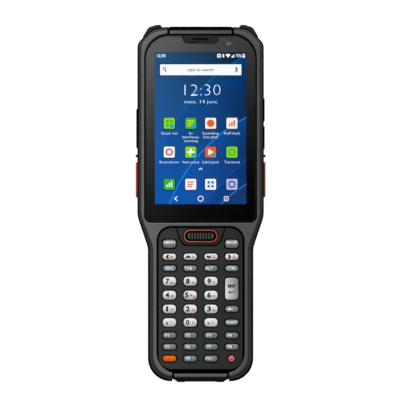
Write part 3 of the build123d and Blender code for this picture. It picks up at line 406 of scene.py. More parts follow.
def painted_joint_shade(material, half_width, from_y):
    """Blackens a material in a joint as painted shade: nearer to the middle than half_width and past from_y.
    """
    tree = material.node_tree
    axes = object_axes(tree)
    aside = add_node(tree, "ShaderNodeMath", links={0: (axes, "X")}, operation="ABSOLUTE")
    inside = {0: (aside, "Value")}
    near = add_node(tree, "ShaderNodeMath", {1: half_width * MM}, inside, operation="LESS_THAN")
    side = "GREATER_THAN" if from_y > 0 else "LESS_THAN"
    past = add_node(tree, "ShaderNodeMath", {1: from_y * MM}, {0: (axes, "Y")}, operation=side)
    factors = {0: (near, "Value"), 1: (past, "Value")}
    both = add_node(tree, "ShaderNodeMath", links=factors, operation="MULTIPLY")
    laid_over(material, "MIX", (both, "Value"), JOINT_SHADE_TONE)


CAP_JOINT = (19.0, 96.0)
COVER_JOINT = (16.3, -96.9)
CAP_STRIP_HALF = 17.65
# The joints beside the top cap and the port cover, and the cap's ends, are painted black as shade.
painted_joint_shade(frame_plastic, *CAP_JOINT)
painted_joint_shade(frame_plastic, *COVER_JOINT)
painted_end_shade(cap_plastic, CAP_STRIP_HALF)
print("tones laid over the panel, the frame and the cap")

# %% [markdown]
# ### Rubbers
# Bumpers and side keys are moulded TPE: darker than the plastic, matt, with almost no highlight. The
# triggers are the same rubber in orange red, painted lighter on the left as painted light. The port
# cover is a satin TPU whose lighter crest stands over a slope painted darker as shade. The scan key's
# slots are painted nearly black as shade, and its rib tops lighter as a painted highlight.

# %% Rubber materials
bumper_rubber = moulded(
    "corner_bumper_tpe_matt", "#2c2d2e", "#333435", 0.7, grain=1.1, depth=0.05, Specular_IOR_Level=0.05
)
side_key_rubber = moulded("side_key_silicone_matt", "#070708", "#0b0b0c", 0.7, Specular_IOR_Level=0.15)
TRIGGER_TONE = "#b95c44"
# The triggers' left side is painted lighter and their right side darker, as painted light from the left.
trigger_rubber = moulded(
    "trigger_tpe_orange_red",
    TRIGGER_TONE,
    TRIGGER_TONE,
    0.66,
    tones_by_height=((11.0, TRIGGER_TONE), (19.4, TRIGGER_TONE)),
    painted_lean=0.2,
    lean_from=0.0,
    Specular_IOR_Level=0.15,
)
# The port cover's slope and sides are painted darker than its crest, as painted shade.
cover_rubber = moulded(
    "port_cover_tpu_satin",
    RAIL_TONE,
    RAIL_TONE,
    0.5,
    tones_by_height=((21.0, "#1e1e1f"), (24.6, "#1e1e1f"), (25.6, "#242425"), (28.2, "#242425"), (28.5, "#646566")),
    Specular_IOR_Level=0.0,
)
# The scan key's slots are painted nearly black as shade, and its rib tops lighter as a painted highlight.
scan_rubber = moulded(
    "scan_key_silicone_ribbed",
    "#080808",
    "#080808",
    0.5,
    grain=0.7,
    tones_by_height=((28.1, "#120c0b"), (28.35, "#030303"), (28.6, "#2a2c2b"), (28.75, "#484b49")),
    Specular_IOR_Level=0.15,
)
COVER_STRIP_HALF = 15.0
# Past the crest strip's ends the port cover is painted black, as shade in the joint.
painted_end_shade(cover_rubber, COVER_STRIP_HALF)
seal_rubber = moulded("seal_epdm_black", "#020202", "#030303", 0.85, Specular_IOR_Level=0.05)
silicone_mat = moulded("key_mat_silicone", "#0c0c0c", "#101011", 0.75, Specular_IOR_Level=0.1)
print("moulded materials made:", len(bpy.data.materials))

# %% [markdown]
# ### Key caps
# Hard key caps are moulded in white or blue-grey polycarbonate, lightly textured and then lacquered,
# so they have a soft broad highlight. The flange and the skirt in the hole are black, which makes the
# dark line around each cap: their black is partly the silicone's own colour and partly painted shade
# in the gap. The orange and the red key are moulded in their own colour.

# %% Key materials
LACQUER = {"grain": 0.8, "depth": 0.008}
white_cap = moulded("key_cap_white_lacquered", "#ededee", "#e6e6e8", 0.38, **LACQUER)
tall_cap = moulded("key_cap_white_lacquered_tall_painted_shade", "#f8f8f8", "#f2f2f3", 0.38, **LACQUER)
# The tall key cap is painted darker on its right side and towards its top, as painted shade.
painted_shade_across(tall_cap, 14.4, 21.4, 0.28)
painted_shade_across(tall_cap, -50.5, -42.0, 0.62, "Y")
grey_cap = moulded("key_cap_blue_grey_lacquered", "#7a8386", "#717a7d", 0.36, **LACQUER)
orange_cap = moulded(
    "key_cap_orange_polycarbonate", "#f07204", "#e86402", 0.32, Specular_IOR_Level=0.2, **LACQUER
)
red_cap = moulded("key_cap_red_polycarbonate", "#ff828e", "#fa747e", 0.3, **LACQUER)
# The skirt's black is partly the silicone's own colour and partly painted shade in the gap around each cap.
key_skirt = moulded("key_skirt_black_silicone_and_painted_gap_shade", "#020202", "#030303", 0.8, Specular_IOR_Level=0.05)
print("materials with the key caps:", len(bpy.data.materials))

# %% [markdown]
# ### Metals and small technical parts
# Screws are blackened steel: turned, so a faint circular brushing stays. The engine is an anodised
# die casting. The port shell is nickel-plated steel and its contacts are gold plated.

# %% Metals
SCRATCH_MM = 0.01


def metal(name, colour, roughness, brush_mm, stretch):
    """Metal with fine brushing: a noise stretched along one direction drives roughness and bump."""
    material, surface = start_material(name, colour, roughness, Metallic=1.0)
    tree = material.node_tree
    where = {"Vector": (add_node(tree, "ShaderNodeTexCoord"), "Object")}
    brushed = add_node(tree, "ShaderNodeMapping", {"Scale": stretch}, where)
    pattern = {"Scale": 1 / (brush_mm * MM), "Detail": 2.0}
    lines = add_node(tree, "ShaderNodeTexNoise", pattern, {"Vector": (brushed, "Vector")})
    span = {"To Min": roughness - 0.08, "To Max": roughness + 0.1}
    roughened(tree, surface, lines, span, {"Strength": 0.2, "Distance": SCRATCH_MM * MM})
    return material


screw_steel = metal("screw_steel_blackened", "#4a4b4e", 0.38, 0.5, (1.0, 1.0, 0.1))
engine_metal = metal("engine_casting_anodised", "#3a3b40", 0.42, 0.6, (1.0, 0.2, 1.0))
port_steel = metal("port_shell_nickel_plated", "#b9bbbf", 0.24, 0.4, (0.1, 1.0, 1.0))
contact_gold = metal("contact_gold_plated", "#d9a441", 0.25, 0.3, (1.0, 0.2, 1.0))
cloth_steel = metal("wire_cloth_blackened", "#2c2c2e", 0.45, 0.3, (1.0, 1.0, 1.0))
print("metals made: 5")

# %% [markdown]
# ### Circuit board
# Glass fibre laminate under green solder mask, with the copper tracks showing as slightly lighter
# lines. They run along the joints of a brick pattern; the mask is glossy.

# %% Circuit board material
TRACK_MM = 2.2
MASK_GREEN = "#0f5a34"
circuit_board, board_surface = start_material("circuit_board_solder_mask", MASK_GREEN, 0.3, Coat_Weight=0.3)
board_tree = circuit_board.node_tree
board_place = add_node(board_tree, "ShaderNodeTexCoord")
tracks = add_node(
    board_tree,
    "ShaderNodeTexBrick",
    {
        "Scale": 1 / (TRACK_MM * MM),
        "Mortar Size": 0.06,
        "Color1": linear(MASK_GREEN),
        "Color2": linear("#0d5230"),
        "Mortar": linear("#2c8a52"),
    },
    {"Vector": (board_place, "Object")},
)
board_tree.links.new(tracks.outputs["Color"], board_surface.inputs["Base Color"])

# %% [markdown]
# ### Glasses
# The cover glass is clear alkali glass, 1 mm thick, with ground edges. Its black frame is ink on its
# back, and not a tint of the glass, so it is a thin plate of its own under it. The scan window is
# acrylic with a dark red dye that only lets the laser's red through. The camera's ring is black
# gloss with a coated lens.

# %% Glass and gloss materials
FILM_ROUGHNESS = 0.03
cover_glass, glass_surface = start_material(
    "cover_glass_clear", "#f4f8fa", 0.015, Transmission_Weight=1.0, IOR=1.5
)
lens_glass, lens_surface = start_material(
    "camera_lens_coated",
    "#1c1430",
    0.03,
    IOR=1.6,
    Coat_Weight=1.0,
    Coat_Roughness=0.02,
    Specular_IOR_Level=0.8,
)
window_glass, window_surface = start_material(
    "scan_window_red_acrylic", "#3a0610", 0.04, Transmission_Weight=0.35, IOR=1.49, Coat_Weight=0.6
)


def smudged(material, surface, roughness, patch_mm):
    """Glass is never quite clean: a wide noise lifts the roughness a little in patches."""
    tree = material.node_tree
    where = {"Vector": (add_node(tree, "ShaderNodeTexCoord"), "Object")}
    pattern = {"Scale": 1 / (patch_mm * MM), "Detail": 4.0}
    patches = add_node(tree, "ShaderNodeTexNoise", pattern, where)
    span = {"From Min": 0.4, "From Max": 0.8, "To Min": roughness, "To Max": roughness + FILM_ROUGHNESS}
    film = add_node(tree, "ShaderNodeMapRange", span, {"Value": (patches, "Fac")})
    tree.links.new(film.outputs["Result"], surface.inputs["Roughness"])


smudged(cover_glass, glass_surface, 0.01, 30.0)
smudged(lens_glass, lens_surface, 0.02, 3.0)
smudged(window_glass, window_surface, 0.03, 6.0)
print("materials so far:", len(bpy.data.materials))

# %% [markdown]
# ## Flat shapes
# Gaskets, printed inks, screen marks and the glass are all flat slabs with an outline. A filled 2D
# curve makes such a slab with holes and a bevelled rim in one step, and it is then turned into a
# plain mesh. Outlines are worked out from their corners, as a drawing gives them.


# %% Outlines
def filleted(corners, radii, steps=6):
    """Closed outline through the corners, each rounded by its own radius."""
    outline = []
    for i, radius in enumerate(radii):
        corner = Vector(corners[i])
        back = (Vector(corners[i - 1]) - corner).normalized()
        ahead = (Vector(corners[(i + 1) % len(corners)]) - corner).normalized()
        half = back.angle(ahead) / 2
        middle = corner + (back + ahead).normalized() * radius / math.sin(half)
        first = corner + back * radius / math.tan(half) - middle
        last = corner + ahead * radius / math.tan(half) - middle
        for k in range(steps + 1):
            outline.append(middle + first.lerp(last, k / steps).normalized() * radius)
    return outline


def rounded_box(x, y, width, height, radius, steps=5):
    """Rectangle with round corners about a point."""
    w, h = width / 2, height / 2
    corners = [(x + w, y - h), (x + w, y + h), (x - w, y + h), (x - w, y - h)]
    return filleted(corners, [radius] * 4, steps)


def disc(x, y, radius, points=28):
    """Circle about a point."""
    angles = [2 * math.pi * k / points for k in range(points)]
    return [Vector((x + radius * math.cos(a), y + radius * math.sin(a))) for a in angles]


def mirrored(right_side, radii):
    """Outline that is the same on both sides of the Y axis, from its right-hand corners."""
    left_side = [(-x, y) for x, y in reversed(right_side)]
    return filleted(right_side + left_side, radii + radii[::-1])


# %% Slabs
MERGE_DISTANCE = 0.0004


def plain_mesh(curve):
    """Turns a curve or text into a mesh in metres, with its seams merged and its faces outwards."""
    holder = bpy.data.objects.new("holder", curve)
    bpy.context.scene.collection.objects.link(holder)
    bpy.context.view_layer.update()
    graph = bpy.context.evaluated_depsgraph_get()
    mesh = bpy.data.meshes.new_from_object(holder.evaluated_get(graph))
    bpy.data.objects.remove(holder)
    build = bmesh.new()
    build.from_mesh(mesh)
    bmesh.ops.remove_doubles(build, verts=build.verts, dist=MERGE_DISTANCE)
    bmesh.ops.recalc_face_normals(build, faces=build.faces)
    build.to_mesh(mesh)
    build.free()
    return mesh


def slab(outlines, low, high, edge=0.0):
    """Flat slab between two heights. Outlines side by side are filled, one inside another is a hole."""
    curve = bpy.data.curves.new("slab", "CURVE")
    curve.dimensions = "2D"
    curve.fill_mode = "BOTH"
    curve.extrude = (high - low) / 2 - edge
    curve.bevel_depth = edge
    curve.bevel_resolution = 2
    curve.offset = -edge
    for outline in outlines:
        spline = curve.splines.new("POLY")
        spline.points.add(len(outline) - 1)
        for point, spot in zip(spline.points, outline):
            point.co = (spot[0], spot[1], 0, 1)
        spline.use_cyclic_u = True
    mesh = plain_mesh(curve)
    mesh.transform(Matrix.Translation((0, 0, (low + high) / 2)))
    return mesh


# %% Lettering
def lettering(text, x, y, low, high, size, weight, width):
    """Text as a thin slab about a point. weight thickens its strokes, width sets how wide it comes out."""
    curve = bpy.data.curves.new("lettering", "FONT")
    curve.body = text
    curve.size = size
    curve.align_x = "CENTER"
    curve.align_y = "CENTER"
    curve.offset = weight
    curve.resolution_u = 2
    curve.extrude = (high - low) / 2
    mesh = plain_mesh(curve)
    across = [vertex.co.x for vertex in mesh.vertices]
    stretch = width / (max(across) - min(across))
    mesh.transform(Matrix.Translation((x, y, (low + high) / 2)) @ Matrix.Diagonal((stretch, 1, 1, 1)))
    return mesh


# %% Joining and placing
def mesh_from(build, name, smooth=False):
    """Turns a bmesh into a mesh of its own, with round shading if it is smooth."""
    mesh = bpy.data.meshes.new(name)
    build.to_mesh(mesh)
    build.free()
    if smooth:
        mesh.polygons.foreach_set("use_smooth", [True] * len(mesh.polygons))
    return mesh


def joined(parts):
    """One mesh from several (mesh, material index) pairs."""
    build = bmesh.new()
    for mesh, index in parts:
        start = len(build.faces)
        build.from_mesh(mesh)
        build.faces.ensure_lookup_table()
        for face in build.faces[start:]:
            face.material_index = index
    return mesh_from(build, "joined")


def place(name, mesh, materials, body):
    """Puts a finished mesh, drawn in millimetres, on the body that carries it."""
    mesh.transform(Matrix.Scale(MM, 4))
    if not mesh.materials:
        for material in materials:
            mesh.materials.append(material)
    piece = bpy.data.objects.new(name, mesh)
    bpy.context.scene.collection.objects.link(piece)
    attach(piece, body)
    return piece


# %% [markdown]
# ## Finishing the imported pieces
# The shapes of the moulded pieces are right already. Each gets its material in its own slots, and
# nothing about its mesh changes.

# %% Scan ring, with painted glow
RING_HALF = 9.5
RING_HIGHLIGHT_TONES = (
    (0.0, "#84543e"),
    (0.07, "#c4662c"),
    (0.2, "#b4663a"),
    (0.5, "#985a44"),
    (0.84, "#a85438"),
    (0.94, "#c44c28"),
    (1.0, "#9a402c"),
)
RING_BASE_TONES = ((0.0, "#3a1406"), (0.5, "#260a04"), (0.85, "#340a06"), (1.0, "#480e08"))


def ring_material(name, tones, roughness, glow):
    """Tinted polycarbonate whose tone runs from amber on the left to red on the right; its glow is painted
    light, since the ring is no lamp.
    """
    material, surface = start_material(name, tones[0][1], roughness, Coat_Weight=0.1)
    tree = material.node_tree
    span = {"From Min": -RING_HALF * MM, "From Max": RING_HALF * MM}
    share = add_node(tree, "ShaderNodeMapRange", span, {"Value": (object_axes(tree), "X")})
    tone = add_node(tree, "ShaderNodeValToRGB", links={"Fac": (share, "Result")})
    set_stops(tone.color_ramp, tones)
    for socket in ("Base Color", "Emission Color"):
        tree.links.new(tone.outputs["Color"], surface.inputs[socket])
    surface.inputs["Emission Strength"].default_value = glow
    return material


# The glow of the ring's plastic and of its line is painted light.
ring_plastic = ring_material("scan_ring_red_polycarbonate_painted_glow", RING_BASE_TONES, 0.4, 0.03)
ring_highlight_material = ring_material("scan_ring_painted_highlight_line", RING_HIGHLIGHT_TONES, 0.35, 0.4)
print("tones along the lit line:", len(RING_HIGHLIGHT_TONES))

# %% Table of finishes
camera_gloss = moulded("camera_bezel_gloss_black", "#0c0c0e", "#101012", 0.18, depth=0.004)

MATERIAL_OF_SLOT = {
    "frame_plastic": frame_plastic,
    "housing_plastic": housing_plastic,
    "cap_plastic": cap_plastic,
    "bumper_rubber": bumper_rubber,
    "cover_glass": cover_glass,
    "circuit_board": circuit_board,
    "panel_plastic": panel_plastic,
    "silicone_mat": silicone_mat,
    "window_glass": window_glass,
    "engine_metal": engine_metal,
    "screw_steel": screw_steel,
    "camera_glass": camera_gloss,
    "scan_rubber": scan_rubber,
    "ring_plastic": ring_plastic,
    "trigger_rubber": trigger_rubber,
    "side_key_rubber": side_key_rubber,
    "battery_plastic": battery_plastic,
    "latch_plastic": latch_plastic,
    "cover_rubber": cover_rubber,
    "white_key": white_cap,
    "grey_key": grey_cap,
    "orange_key": orange_cap,
    "red_key": red_cap,
}
# The display gets its material further down, where the screen is made.
slot_of = {part["node"]: part["material_slot"] for part in frame["record"]["subparts"]}
FINISHES = {name: MATERIAL_OF_SLOT[slot] for name, slot in slot_of.items() if slot != "display"}
FINISHES["key_enter"] = tall_cap
key_names = [name for name in nodes if name.startswith("key_")]
print("finishes in the table:", len(FINISHES))


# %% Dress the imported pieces
def finish_node(name, material):
    """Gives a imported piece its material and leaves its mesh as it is."""
    nodes[name].data.materials.clear()
    nodes[name].data.materials.append(material)


for name, material in FINISHES.items():
    finish_node(name, material)
print("packed pieces finished:", len(FINISHES), "keys:", len(key_names))

# %% [markdown]
# ## The lit screen
# The display is its own light source. The picture on it is a deep blue field with broad arcs of
# lighter blue, each with a thin bright rim. An arc is a band inside a circle whose centre lies off the
# screen: the distance to the centre, mapped twice, gives a band that rises softly and ends sharply.

# %% Screen measures
ACTIVE_HALF = 25.95
ACTIVE_LOW = -0.35
ACTIVE_HIGH = 86.0
SCREEN_HEIGHT = corners_of("lcd_module")[1].z
SCREEN_SPAN_X = {"From Min": -ACTIVE_HALF * MM, "From Max": ACTIVE_HALF * MM}
SCREEN_SPAN_Y = {"From Min": ACTIVE_LOW * MM, "From Max": ACTIVE_HIGH * MM}
print("lit area in mm:", 2 * ACTIVE_HALF, "by", ACTIVE_HIGH - ACTIVE_LOW)

# %% Display field
display, display_surface = start_material("display_lit_blue", "#000000", 0.4, Specular_IOR_Level=0.0)
display_tree = display.node_tree
screen_place = add_node(display_tree, "ShaderNodeTexCoord")
screen_axes = object_axes(display_tree)
across = add_node(display_tree, "ShaderNodeMapRange", SCREEN_SPAN_X, {"Value": (screen_axes, "X")})
upward = add_node(display_tree, "ShaderNodeMapRange", SCREEN_SPAN_Y, {"Value": (screen_axes, "Y")})


def blend_colours(share, first, second):
    """Mix of two colours by a share; each colour is a hex code or an earlier node."""
    constants = {}
    links = {"Factor": share}
    for index, colour in ((6, first), (7, second)):
        if isinstance(colour, str):
            constants[index] = linear(colour)
        else:
            links[index] = (colour, 2)
    return add_node(display_tree, "ShaderNodeMix", constants, links, data_type="RGBA")


upper_field = blend_colours((across, "Result"), "#28567c", "#001428")
lower_field = blend_colours((across, "Result"), "#1662c2", "#124082")
field = blend_colours((upward, "Result"), lower_field, upper_field)
print("nodes in the display's field:", len(display_tree.nodes))

# %% Arcs over the field
# centre X, centre Y, radius, width of the soft side (all in mm), colour and strength of the band,
# colour of its bright rim
ARCS = (
    (74.0, -8.0, 104.0, 30.0, "#00509c", 0.45, "#1468c0"),
    (70.0, -34.0, 94.0, 16.0, "#0a58b4", 0.45, "#1e98f2"),
    (78.0, -44.0, 86.0, 24.0, "#082c72", 0.35, "#0e54b4"),
    (66.0, -56.0, 78.0, 10.0, "#1c3664", 0.7, "#2a90ee"),
)
RIM_WIDTH = 0.7
RIM_STRENGTH = 0.8
EDGE_WIDTH = 0.5
DISPLAY_STRENGTH = 1.05
for centre_x, centre_y, radius, softness, colour, strength, rim_colour in ARCS:
    centre = (centre_x * MM, centre_y * MM, SCREEN_HEIGHT * MM)
    place_of_point = {0: (screen_place, "Object")}
    reach = add_node(display_tree, "ShaderNodeVectorMath", {1: centre}, place_of_point, operation="DISTANCE")
    distance = {"Value": (reach, "Value")}
    fall = {"From Min": radius * MM, "From Max": (radius + EDGE_WIDTH) * MM, "To Min": 1.0, "To Max": 0.0}
    edge = add_node(display_tree, "ShaderNodeMapRange", fall, distance, **SMOOTH)
    layers = ((softness, colour, strength), (RIM_WIDTH, rim_colour, RIM_STRENGTH))
    for rise_width, layer_colour, layer_strength in layers:
        climb = {"From Min": (radius - rise_width) * MM, "From Max": radius * MM, "To Max": layer_strength}
        rise = add_node(display_tree, "ShaderNodeMapRange", climb, distance, **SMOOTH)
        factors = {0: (rise, "Result"), 1: (edge, "Result")}
        band = add_node(display_tree, "ShaderNodeMath", links=factors, operation="MULTIPLY")
        field = blend_colours((band, "Value"), field, layer_colour)
display_tree.links.new(field.outputs[2], display_surface.inputs["Emission Color"])
display_surface.inputs["Emission Strength"].default_value = DISPLAY_STRENGTH
finish_node("lcd_module", display)
print("arcs on the display:", len(ARCS))

# %% [markdown]
# ## Cover glass and its printed frame
# The glass has round upper corners and a notch for the receiver. Its slab has a ground edge. Under
# it lies the printed plate, with an opening for the lit area, and three faint windows where sensors
# look out. The plate's ink runs from black to grey, which is a painted reflection of the glass.

# %% Cover glass
GLASS_BACK = 27.42
NOTCH_HALF = 10.4
NOTCH_DEPTH = 4.1
NOTCH_FLARE = 0.3
NOTCH_TAPER = 0.9
NOTCH_RIM_RADIUS = 0.5
NOTCH_FLOOR_RADIUS = 2.2
GLASS_TOP_RADIUS = 13.0
GLASS_LOW_RADIUS = 3.0
glass_half = glass_high.x


def glass_outline(margin):
    """Outline of the glass, drawn in by a margin."""
    half = glass_half - margin
    low = glass_low.y + margin
    high = glass_high.y - margin
    notch = NOTCH_HALF + margin
    floor = glass_high.y - NOTCH_DEPTH - margin
    right = [(half, low), (half, high), (notch + NOTCH_FLARE, high), (notch - NOTCH_TAPER, floor)]
    corner_radii = [GLASS_LOW_RADIUS - margin, GLASS_TOP_RADIUS - margin]
    return mirrored(right, corner_radii + [NOTCH_RIM_RADIUS, NOTCH_FLOOR_RADIUS])


GROUND_EDGE = 0.1
glass_slab = slab([glass_outline(0.0)], GLASS_BACK, glass_high.z, GROUND_EDGE)
glass = place("cover_glass", glass_slab, [cover_glass], "housing")
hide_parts("screen_glass")
# Clear glass throws no shadow on the ink right behind it.
glass.visible_shadow = False
print("glass thickness in mm:", round(glass_high.z - GLASS_BACK, 2))

# %% Printed frame and sensor windows
# The ink's tone runs up and to the left, from black to grey, as a painted reflection. Its ends are distances
# along FADE.
FADE = (-0.5, 0.58, 0.0)
FADE_FROM = -18.0
FADE_TO = 66.0
PRINT_REFLECTION_TONES = (
    (0.0, "#000000"),
    (0.2, "#101010"),
    (0.4, "#262626"),
    (0.6, "#3f3f3f"),
    (0.8, "#575757"),
    (1.0, "#737372"),
)
# The black ink carries a painted reflection: it turns grey towards the upper left.
print_ink, print_surface = start_material(
    "screen_print_black_painted_reflection", "#101010", 0.6, Specular_IOR_Level=0.0
)
print_tree = print_ink.node_tree
print_place = {0: (add_node(print_tree, "ShaderNodeTexCoord"), "Object")}
along = add_node(print_tree, "ShaderNodeVectorMath", {1: FADE}, print_place, operation="DOT_PRODUCT")
fade_span = {"From Min": FADE_FROM * MM, "From Max": FADE_TO * MM}
print_share = add_node(print_tree, "ShaderNodeMapRange", fade_span, {"Value": (along, "Value")})
print_reflection_tone = add_node(print_tree, "ShaderNodeValToRGB", links={"Fac": (print_share, "Result")})
set_stops(print_reflection_tone.color_ramp, PRINT_REFLECTION_TONES)
print_tree.links.new(print_reflection_tone.outputs["Color"], print_surface.inputs["Base Color"])

PRINT_LOW = 27.31
PRINT_HIGH = 27.38
PRINT_MARGIN = 0.15
active_middle = (ACTIVE_LOW + ACTIVE_HIGH) / 2
opening = rounded_box(0.0, active_middle, 2 * ACTIVE_HALF, ACTIVE_HIGH - ACTIVE_LOW, 0.3, 6)
print_slab = slab([glass_outline(PRINT_MARGIN), opening], PRINT_LOW, PRINT_HIGH)
place("screen_print", print_slab, [print_ink], "housing")

sensor_ink = moulded("sensor_window_thin_ink", "#747478", "#7c7c80", 0.4, grain=2.0, depth=0.0)
SENSOR_HALF = 0.02
eyes = [disc(-16.2, 92.2, 0.45), disc(-13.2, 92.2, 0.35), rounded_box(16.0, 90.9, 2.6, 1.8, 0.3)]
eye_slab = slab(eyes, PRINT_HIGH - SENSOR_HALF, PRINT_HIGH + SENSOR_HALF)
place("sensor_windows", eye_slab, [sensor_ink], "housing")
print("sensor windows:", len(eyes))

# %% [markdown]
# ## What the screen shows
# The marks on the screen are made as very thin slabs over the display, each group in its own lit
# colour. They are generic: a clock, a search field, rows of tiles with simple motifs, and three
# buttons at the bottom. Pixels are evenly lit, so their colour only drifts slightly with height.

# %% Lit inks
LEVELS = {
    "shadow": (27.305, 27.32),
    "tile": (27.325, 27.34),
    "motif": (27.345, 27.36),
    "top": (27.365, 27.38),
}
PIXEL_STRENGTH = 1.13
TEXT_STRENGTH = 1.8


def lit(name, upper, lower, strength=PIXEL_STRENGTH):
    """Pixels of one colour, which drifts a little over the height of the screen."""
    material, surface = start_material(name, "#000000", 0.5, Specular_IOR_Level=0.0)
    tree = material.node_tree
    share = add_node(tree, "ShaderNodeMapRange", SCREEN_SPAN_Y, {"Value": (object_axes(tree), "Y")})
    tones = {6: linear(lower), 7: linear(upper)}
    tone = add_node(tree, "ShaderNodeMix", tones, {"Factor": (share, "Result")}, data_type="RGBA")
    tree.links.new(tone.outputs[2], surface.inputs["Emission Color"])
    surface.inputs["Emission Strength"].default_value = strength
    return material


# colour: its material, from its tone at the top of the screen and its tone at the bottom
LIT = {
    "white": lit("pixels_white", "#ffffff", "#fbfbff"),
    "bright": lit("pixels_bright_text", "#e6f4ff", "#e6f4ff", TEXT_STRENGTH),
    "cream": lit("pixels_cream", "#fff4e2", "#fdf0dc"),
    "lime": lit("pixels_lime", "#8fdc24", "#86d41e"),
    "green": lit("pixels_green", "#4cc41c", "#34b428"),
    "orange": lit("pixels_orange", "#f2682c", "#ec5a24"),
    "red": lit("pixels_red", "#e2342c", "#da2c28"),
    "teal": lit("pixels_teal", "#22b4b0", "#1ea8a6"),
    "yellow": lit("pixels_yellow", "#fad03a", "#f6c830"),
    "blue": lit("pixels_blue", "#3a78e0", "#3470d8"),
    "indigo": lit("pixels_indigo", "#4858c0", "#4450b8"),
    "lavender": lit("pixels_lavender", "#c4c8e4", "#bcc0de"),
    "grey": lit("pixels_grey", "#66666a", "#606064"),
    "dark": lit("pixels_dark", "#303034", "#2c2c30"),
    "steel": lit("pixels_steel_blue", "#3c6aa0", "#3c6aa0"),
    "shadow": lit("pixels_shadow", "#052c62", "#0a2f78"),
}
screen_marks = {colour: [] for colour in LIT}


def mark(colour, outlines, level="motif"):
    """Adds a flat mark to the screen, on one of its four levels."""
    screen_marks[colour].append((slab(outlines, *LEVELS[level]), 0))


def mark_boxes(rows, y):
    """Adds boxes to the screen: colour, X, offset from a line, width, height, corner radius, level."""
    for colour, x, rise, width, height, radius, level in rows:
        mark(colour, [rounded_box(x, y + rise, width, height, radius)], level)


def caption(colour, text, x, y, size, weight, width):
    """Adds lettering to the screen, with its size, its weight and its width."""
    screen_marks[colour].append((lettering(text, x, y, *LEVELS["motif"], size, weight, width), 0))


# %% [markdown]
# ### Status line, search field and clock
# The status line has the time at its left and simple signs at its right. The search field is a white
# bar. The clock below it is the largest lettering, in a thin face.

# %% Status line, search field, clock
STATUS_Y = 84.0
STATUS_BOXES = (
    ("white", 10.5, 0.0, 2.1, 2.1, 0.35, "motif"),
    ("steel", 10.5, 0.0, 1.0, 1.0, 0.2, "top"),
    ("white", 12.95, 0.0, 0.9, 1.9, 0.25, "motif"),
    ("white", 24.5, -0.1, 1.25, 2.1, 0.25, "motif"),
    ("steel", 24.5, 0.35, 0.6, 0.7, 0.1, "top"),
    ("white", 24.5, 1.05, 0.6, 0.35, 0.1, "motif"),
)
mark_boxes(STATUS_BOXES, STATUS_Y)
fan = [(15.6, -1.15), (17.0, 0.55), (16.3, 1.0), (14.9, 1.0), (14.2, 0.55)]
mark("white", [filleted([(x, STATUS_Y + y) for x, y in fan], [0.05, 0.2, 0.3, 0.3, 0.2])])
signal = [(17.2, -1.0), (19.1, -1.0), (19.1, 1.0)]
mark("white", [filleted([(x, STATUS_Y + y) for x, y in signal], [0.08] * 3)])
caption("bright", "12:30", -22.5, STATUS_Y - 0.1, 2.5, 0.0, 4.6)
caption("bright", "75%", 21.65, STATUS_Y - 0.1, 2.4, 0.0, 3.2)

SEARCH_Y = 76.0
SEARCH_BOXES = (
    ("shadow", 0.0, 0.0, 47.4, 7.1, 0.7, "shadow"),
    ("white", 0.05, 0.0, 46.2, 6.15, 0.25, "tile"),
    ("dark", 20.4, 0.55, 1.0, 1.8, 0.45, "motif"),
    ("dark", 20.4, -0.7, 1.9, 0.4, 0.15, "motif"),
    ("dark", 20.4, -1.2, 0.4, 0.8, 0.1, "motif"),
)
mark_boxes(SEARCH_BOXES, SEARCH_Y)
mark("red", [disc(-20.6, SEARCH_Y + 0.6, 0.95), disc(-20.6, SEARCH_Y + 0.6, 0.5)])
handle = [(-20.5, -0.1), (-20.0, 0.2), (-19.2, -1.3), (-19.7, -1.6)]
mark("red", [filleted([(x, SEARCH_Y + y) for x, y in handle], [0.1] * 4)])
caption("grey", "type to search", 0.0, SEARCH_Y, 2.2, 0.04, 15.0)

caption("bright", "12:30", 0.2, 64.15, 9.5, -0.3, 20.3)
caption("bright", "mon, 14 june", 0.1, 57.8, 3.1, -0.07, 18.6)
print("marks in white so far:", len(screen_marks["white"]))

# %% [markdown]
# ### Tiles
# Two rows of four tiles and a dock of four. Each has a round-cornered square and a motif made from
# bars, rings and dots. The two rows have words under them, and the dock has none.


# %% Motifs about a point
def bars(x, y):
    """Three upright bars."""
    return [rounded_box(x + 1.3 * (k - 1), y - 0.9 + 0.5 * k, 0.8, 1.4 + k, 0.15) for k in range(3)]


def ring_motif(x, y):
    """A ring."""
    return [disc(x, y, 2.1), disc(x, y, 1.25)]


def plus(x, y):
    """A plus sign."""
    arm, half = 2.0, 0.5
    corners = [(half, arm), (-half, arm), (-half, half), (-arm, half), (-arm, -half), (-half, -half)]
    corners += [(-half, -arm), (half, -arm), (half, -half), (arm, -half), (arm, half), (half, half)]
    return [filleted([(x + a, y + b) for a, b in corners], [0.1] * 12, 2)]


def grid(x, y):
    """Four small squares."""
    return [rounded_box(x + a, y + b, 1.5, 1.5, 0.25) for a in (-1.1, 1.1) for b in (-1.1, 1.1)]


def wedge(x, y):
    """A triangle that points to the right."""
    return [filleted([(x + 2.0, y), (x - 1.4, y + 1.9), (x - 1.4, y - 1.9)], [0.3] * 3)]


def lines(x, y):
    """Three lines of text."""
    return [rounded_box(x - 0.3 * k, y + 1.3 * (1 - k), 4.0 - 0.6 * k, 0.6, 0.2) for k in range(3)]


def dot(x, y):
    """A disc."""
    return [disc(x, y, 2.1)]


def corner_block(x, y):
    """A block in the tile's lower right corner."""
    return [rounded_box(x + 1.5, y - 1.6, 2.6, 2.0, 0.3)]


# %% Tiles and the words under them
TILE_SIZE = 6.2
TILE_RADIUS = 0.7
TILE_COLUMNS = (-17.8, -5.6, 5.7, 17.8)
TILE_ROWS = (45.6, 29.2, 10.9)
WORD_DROP = 5.7
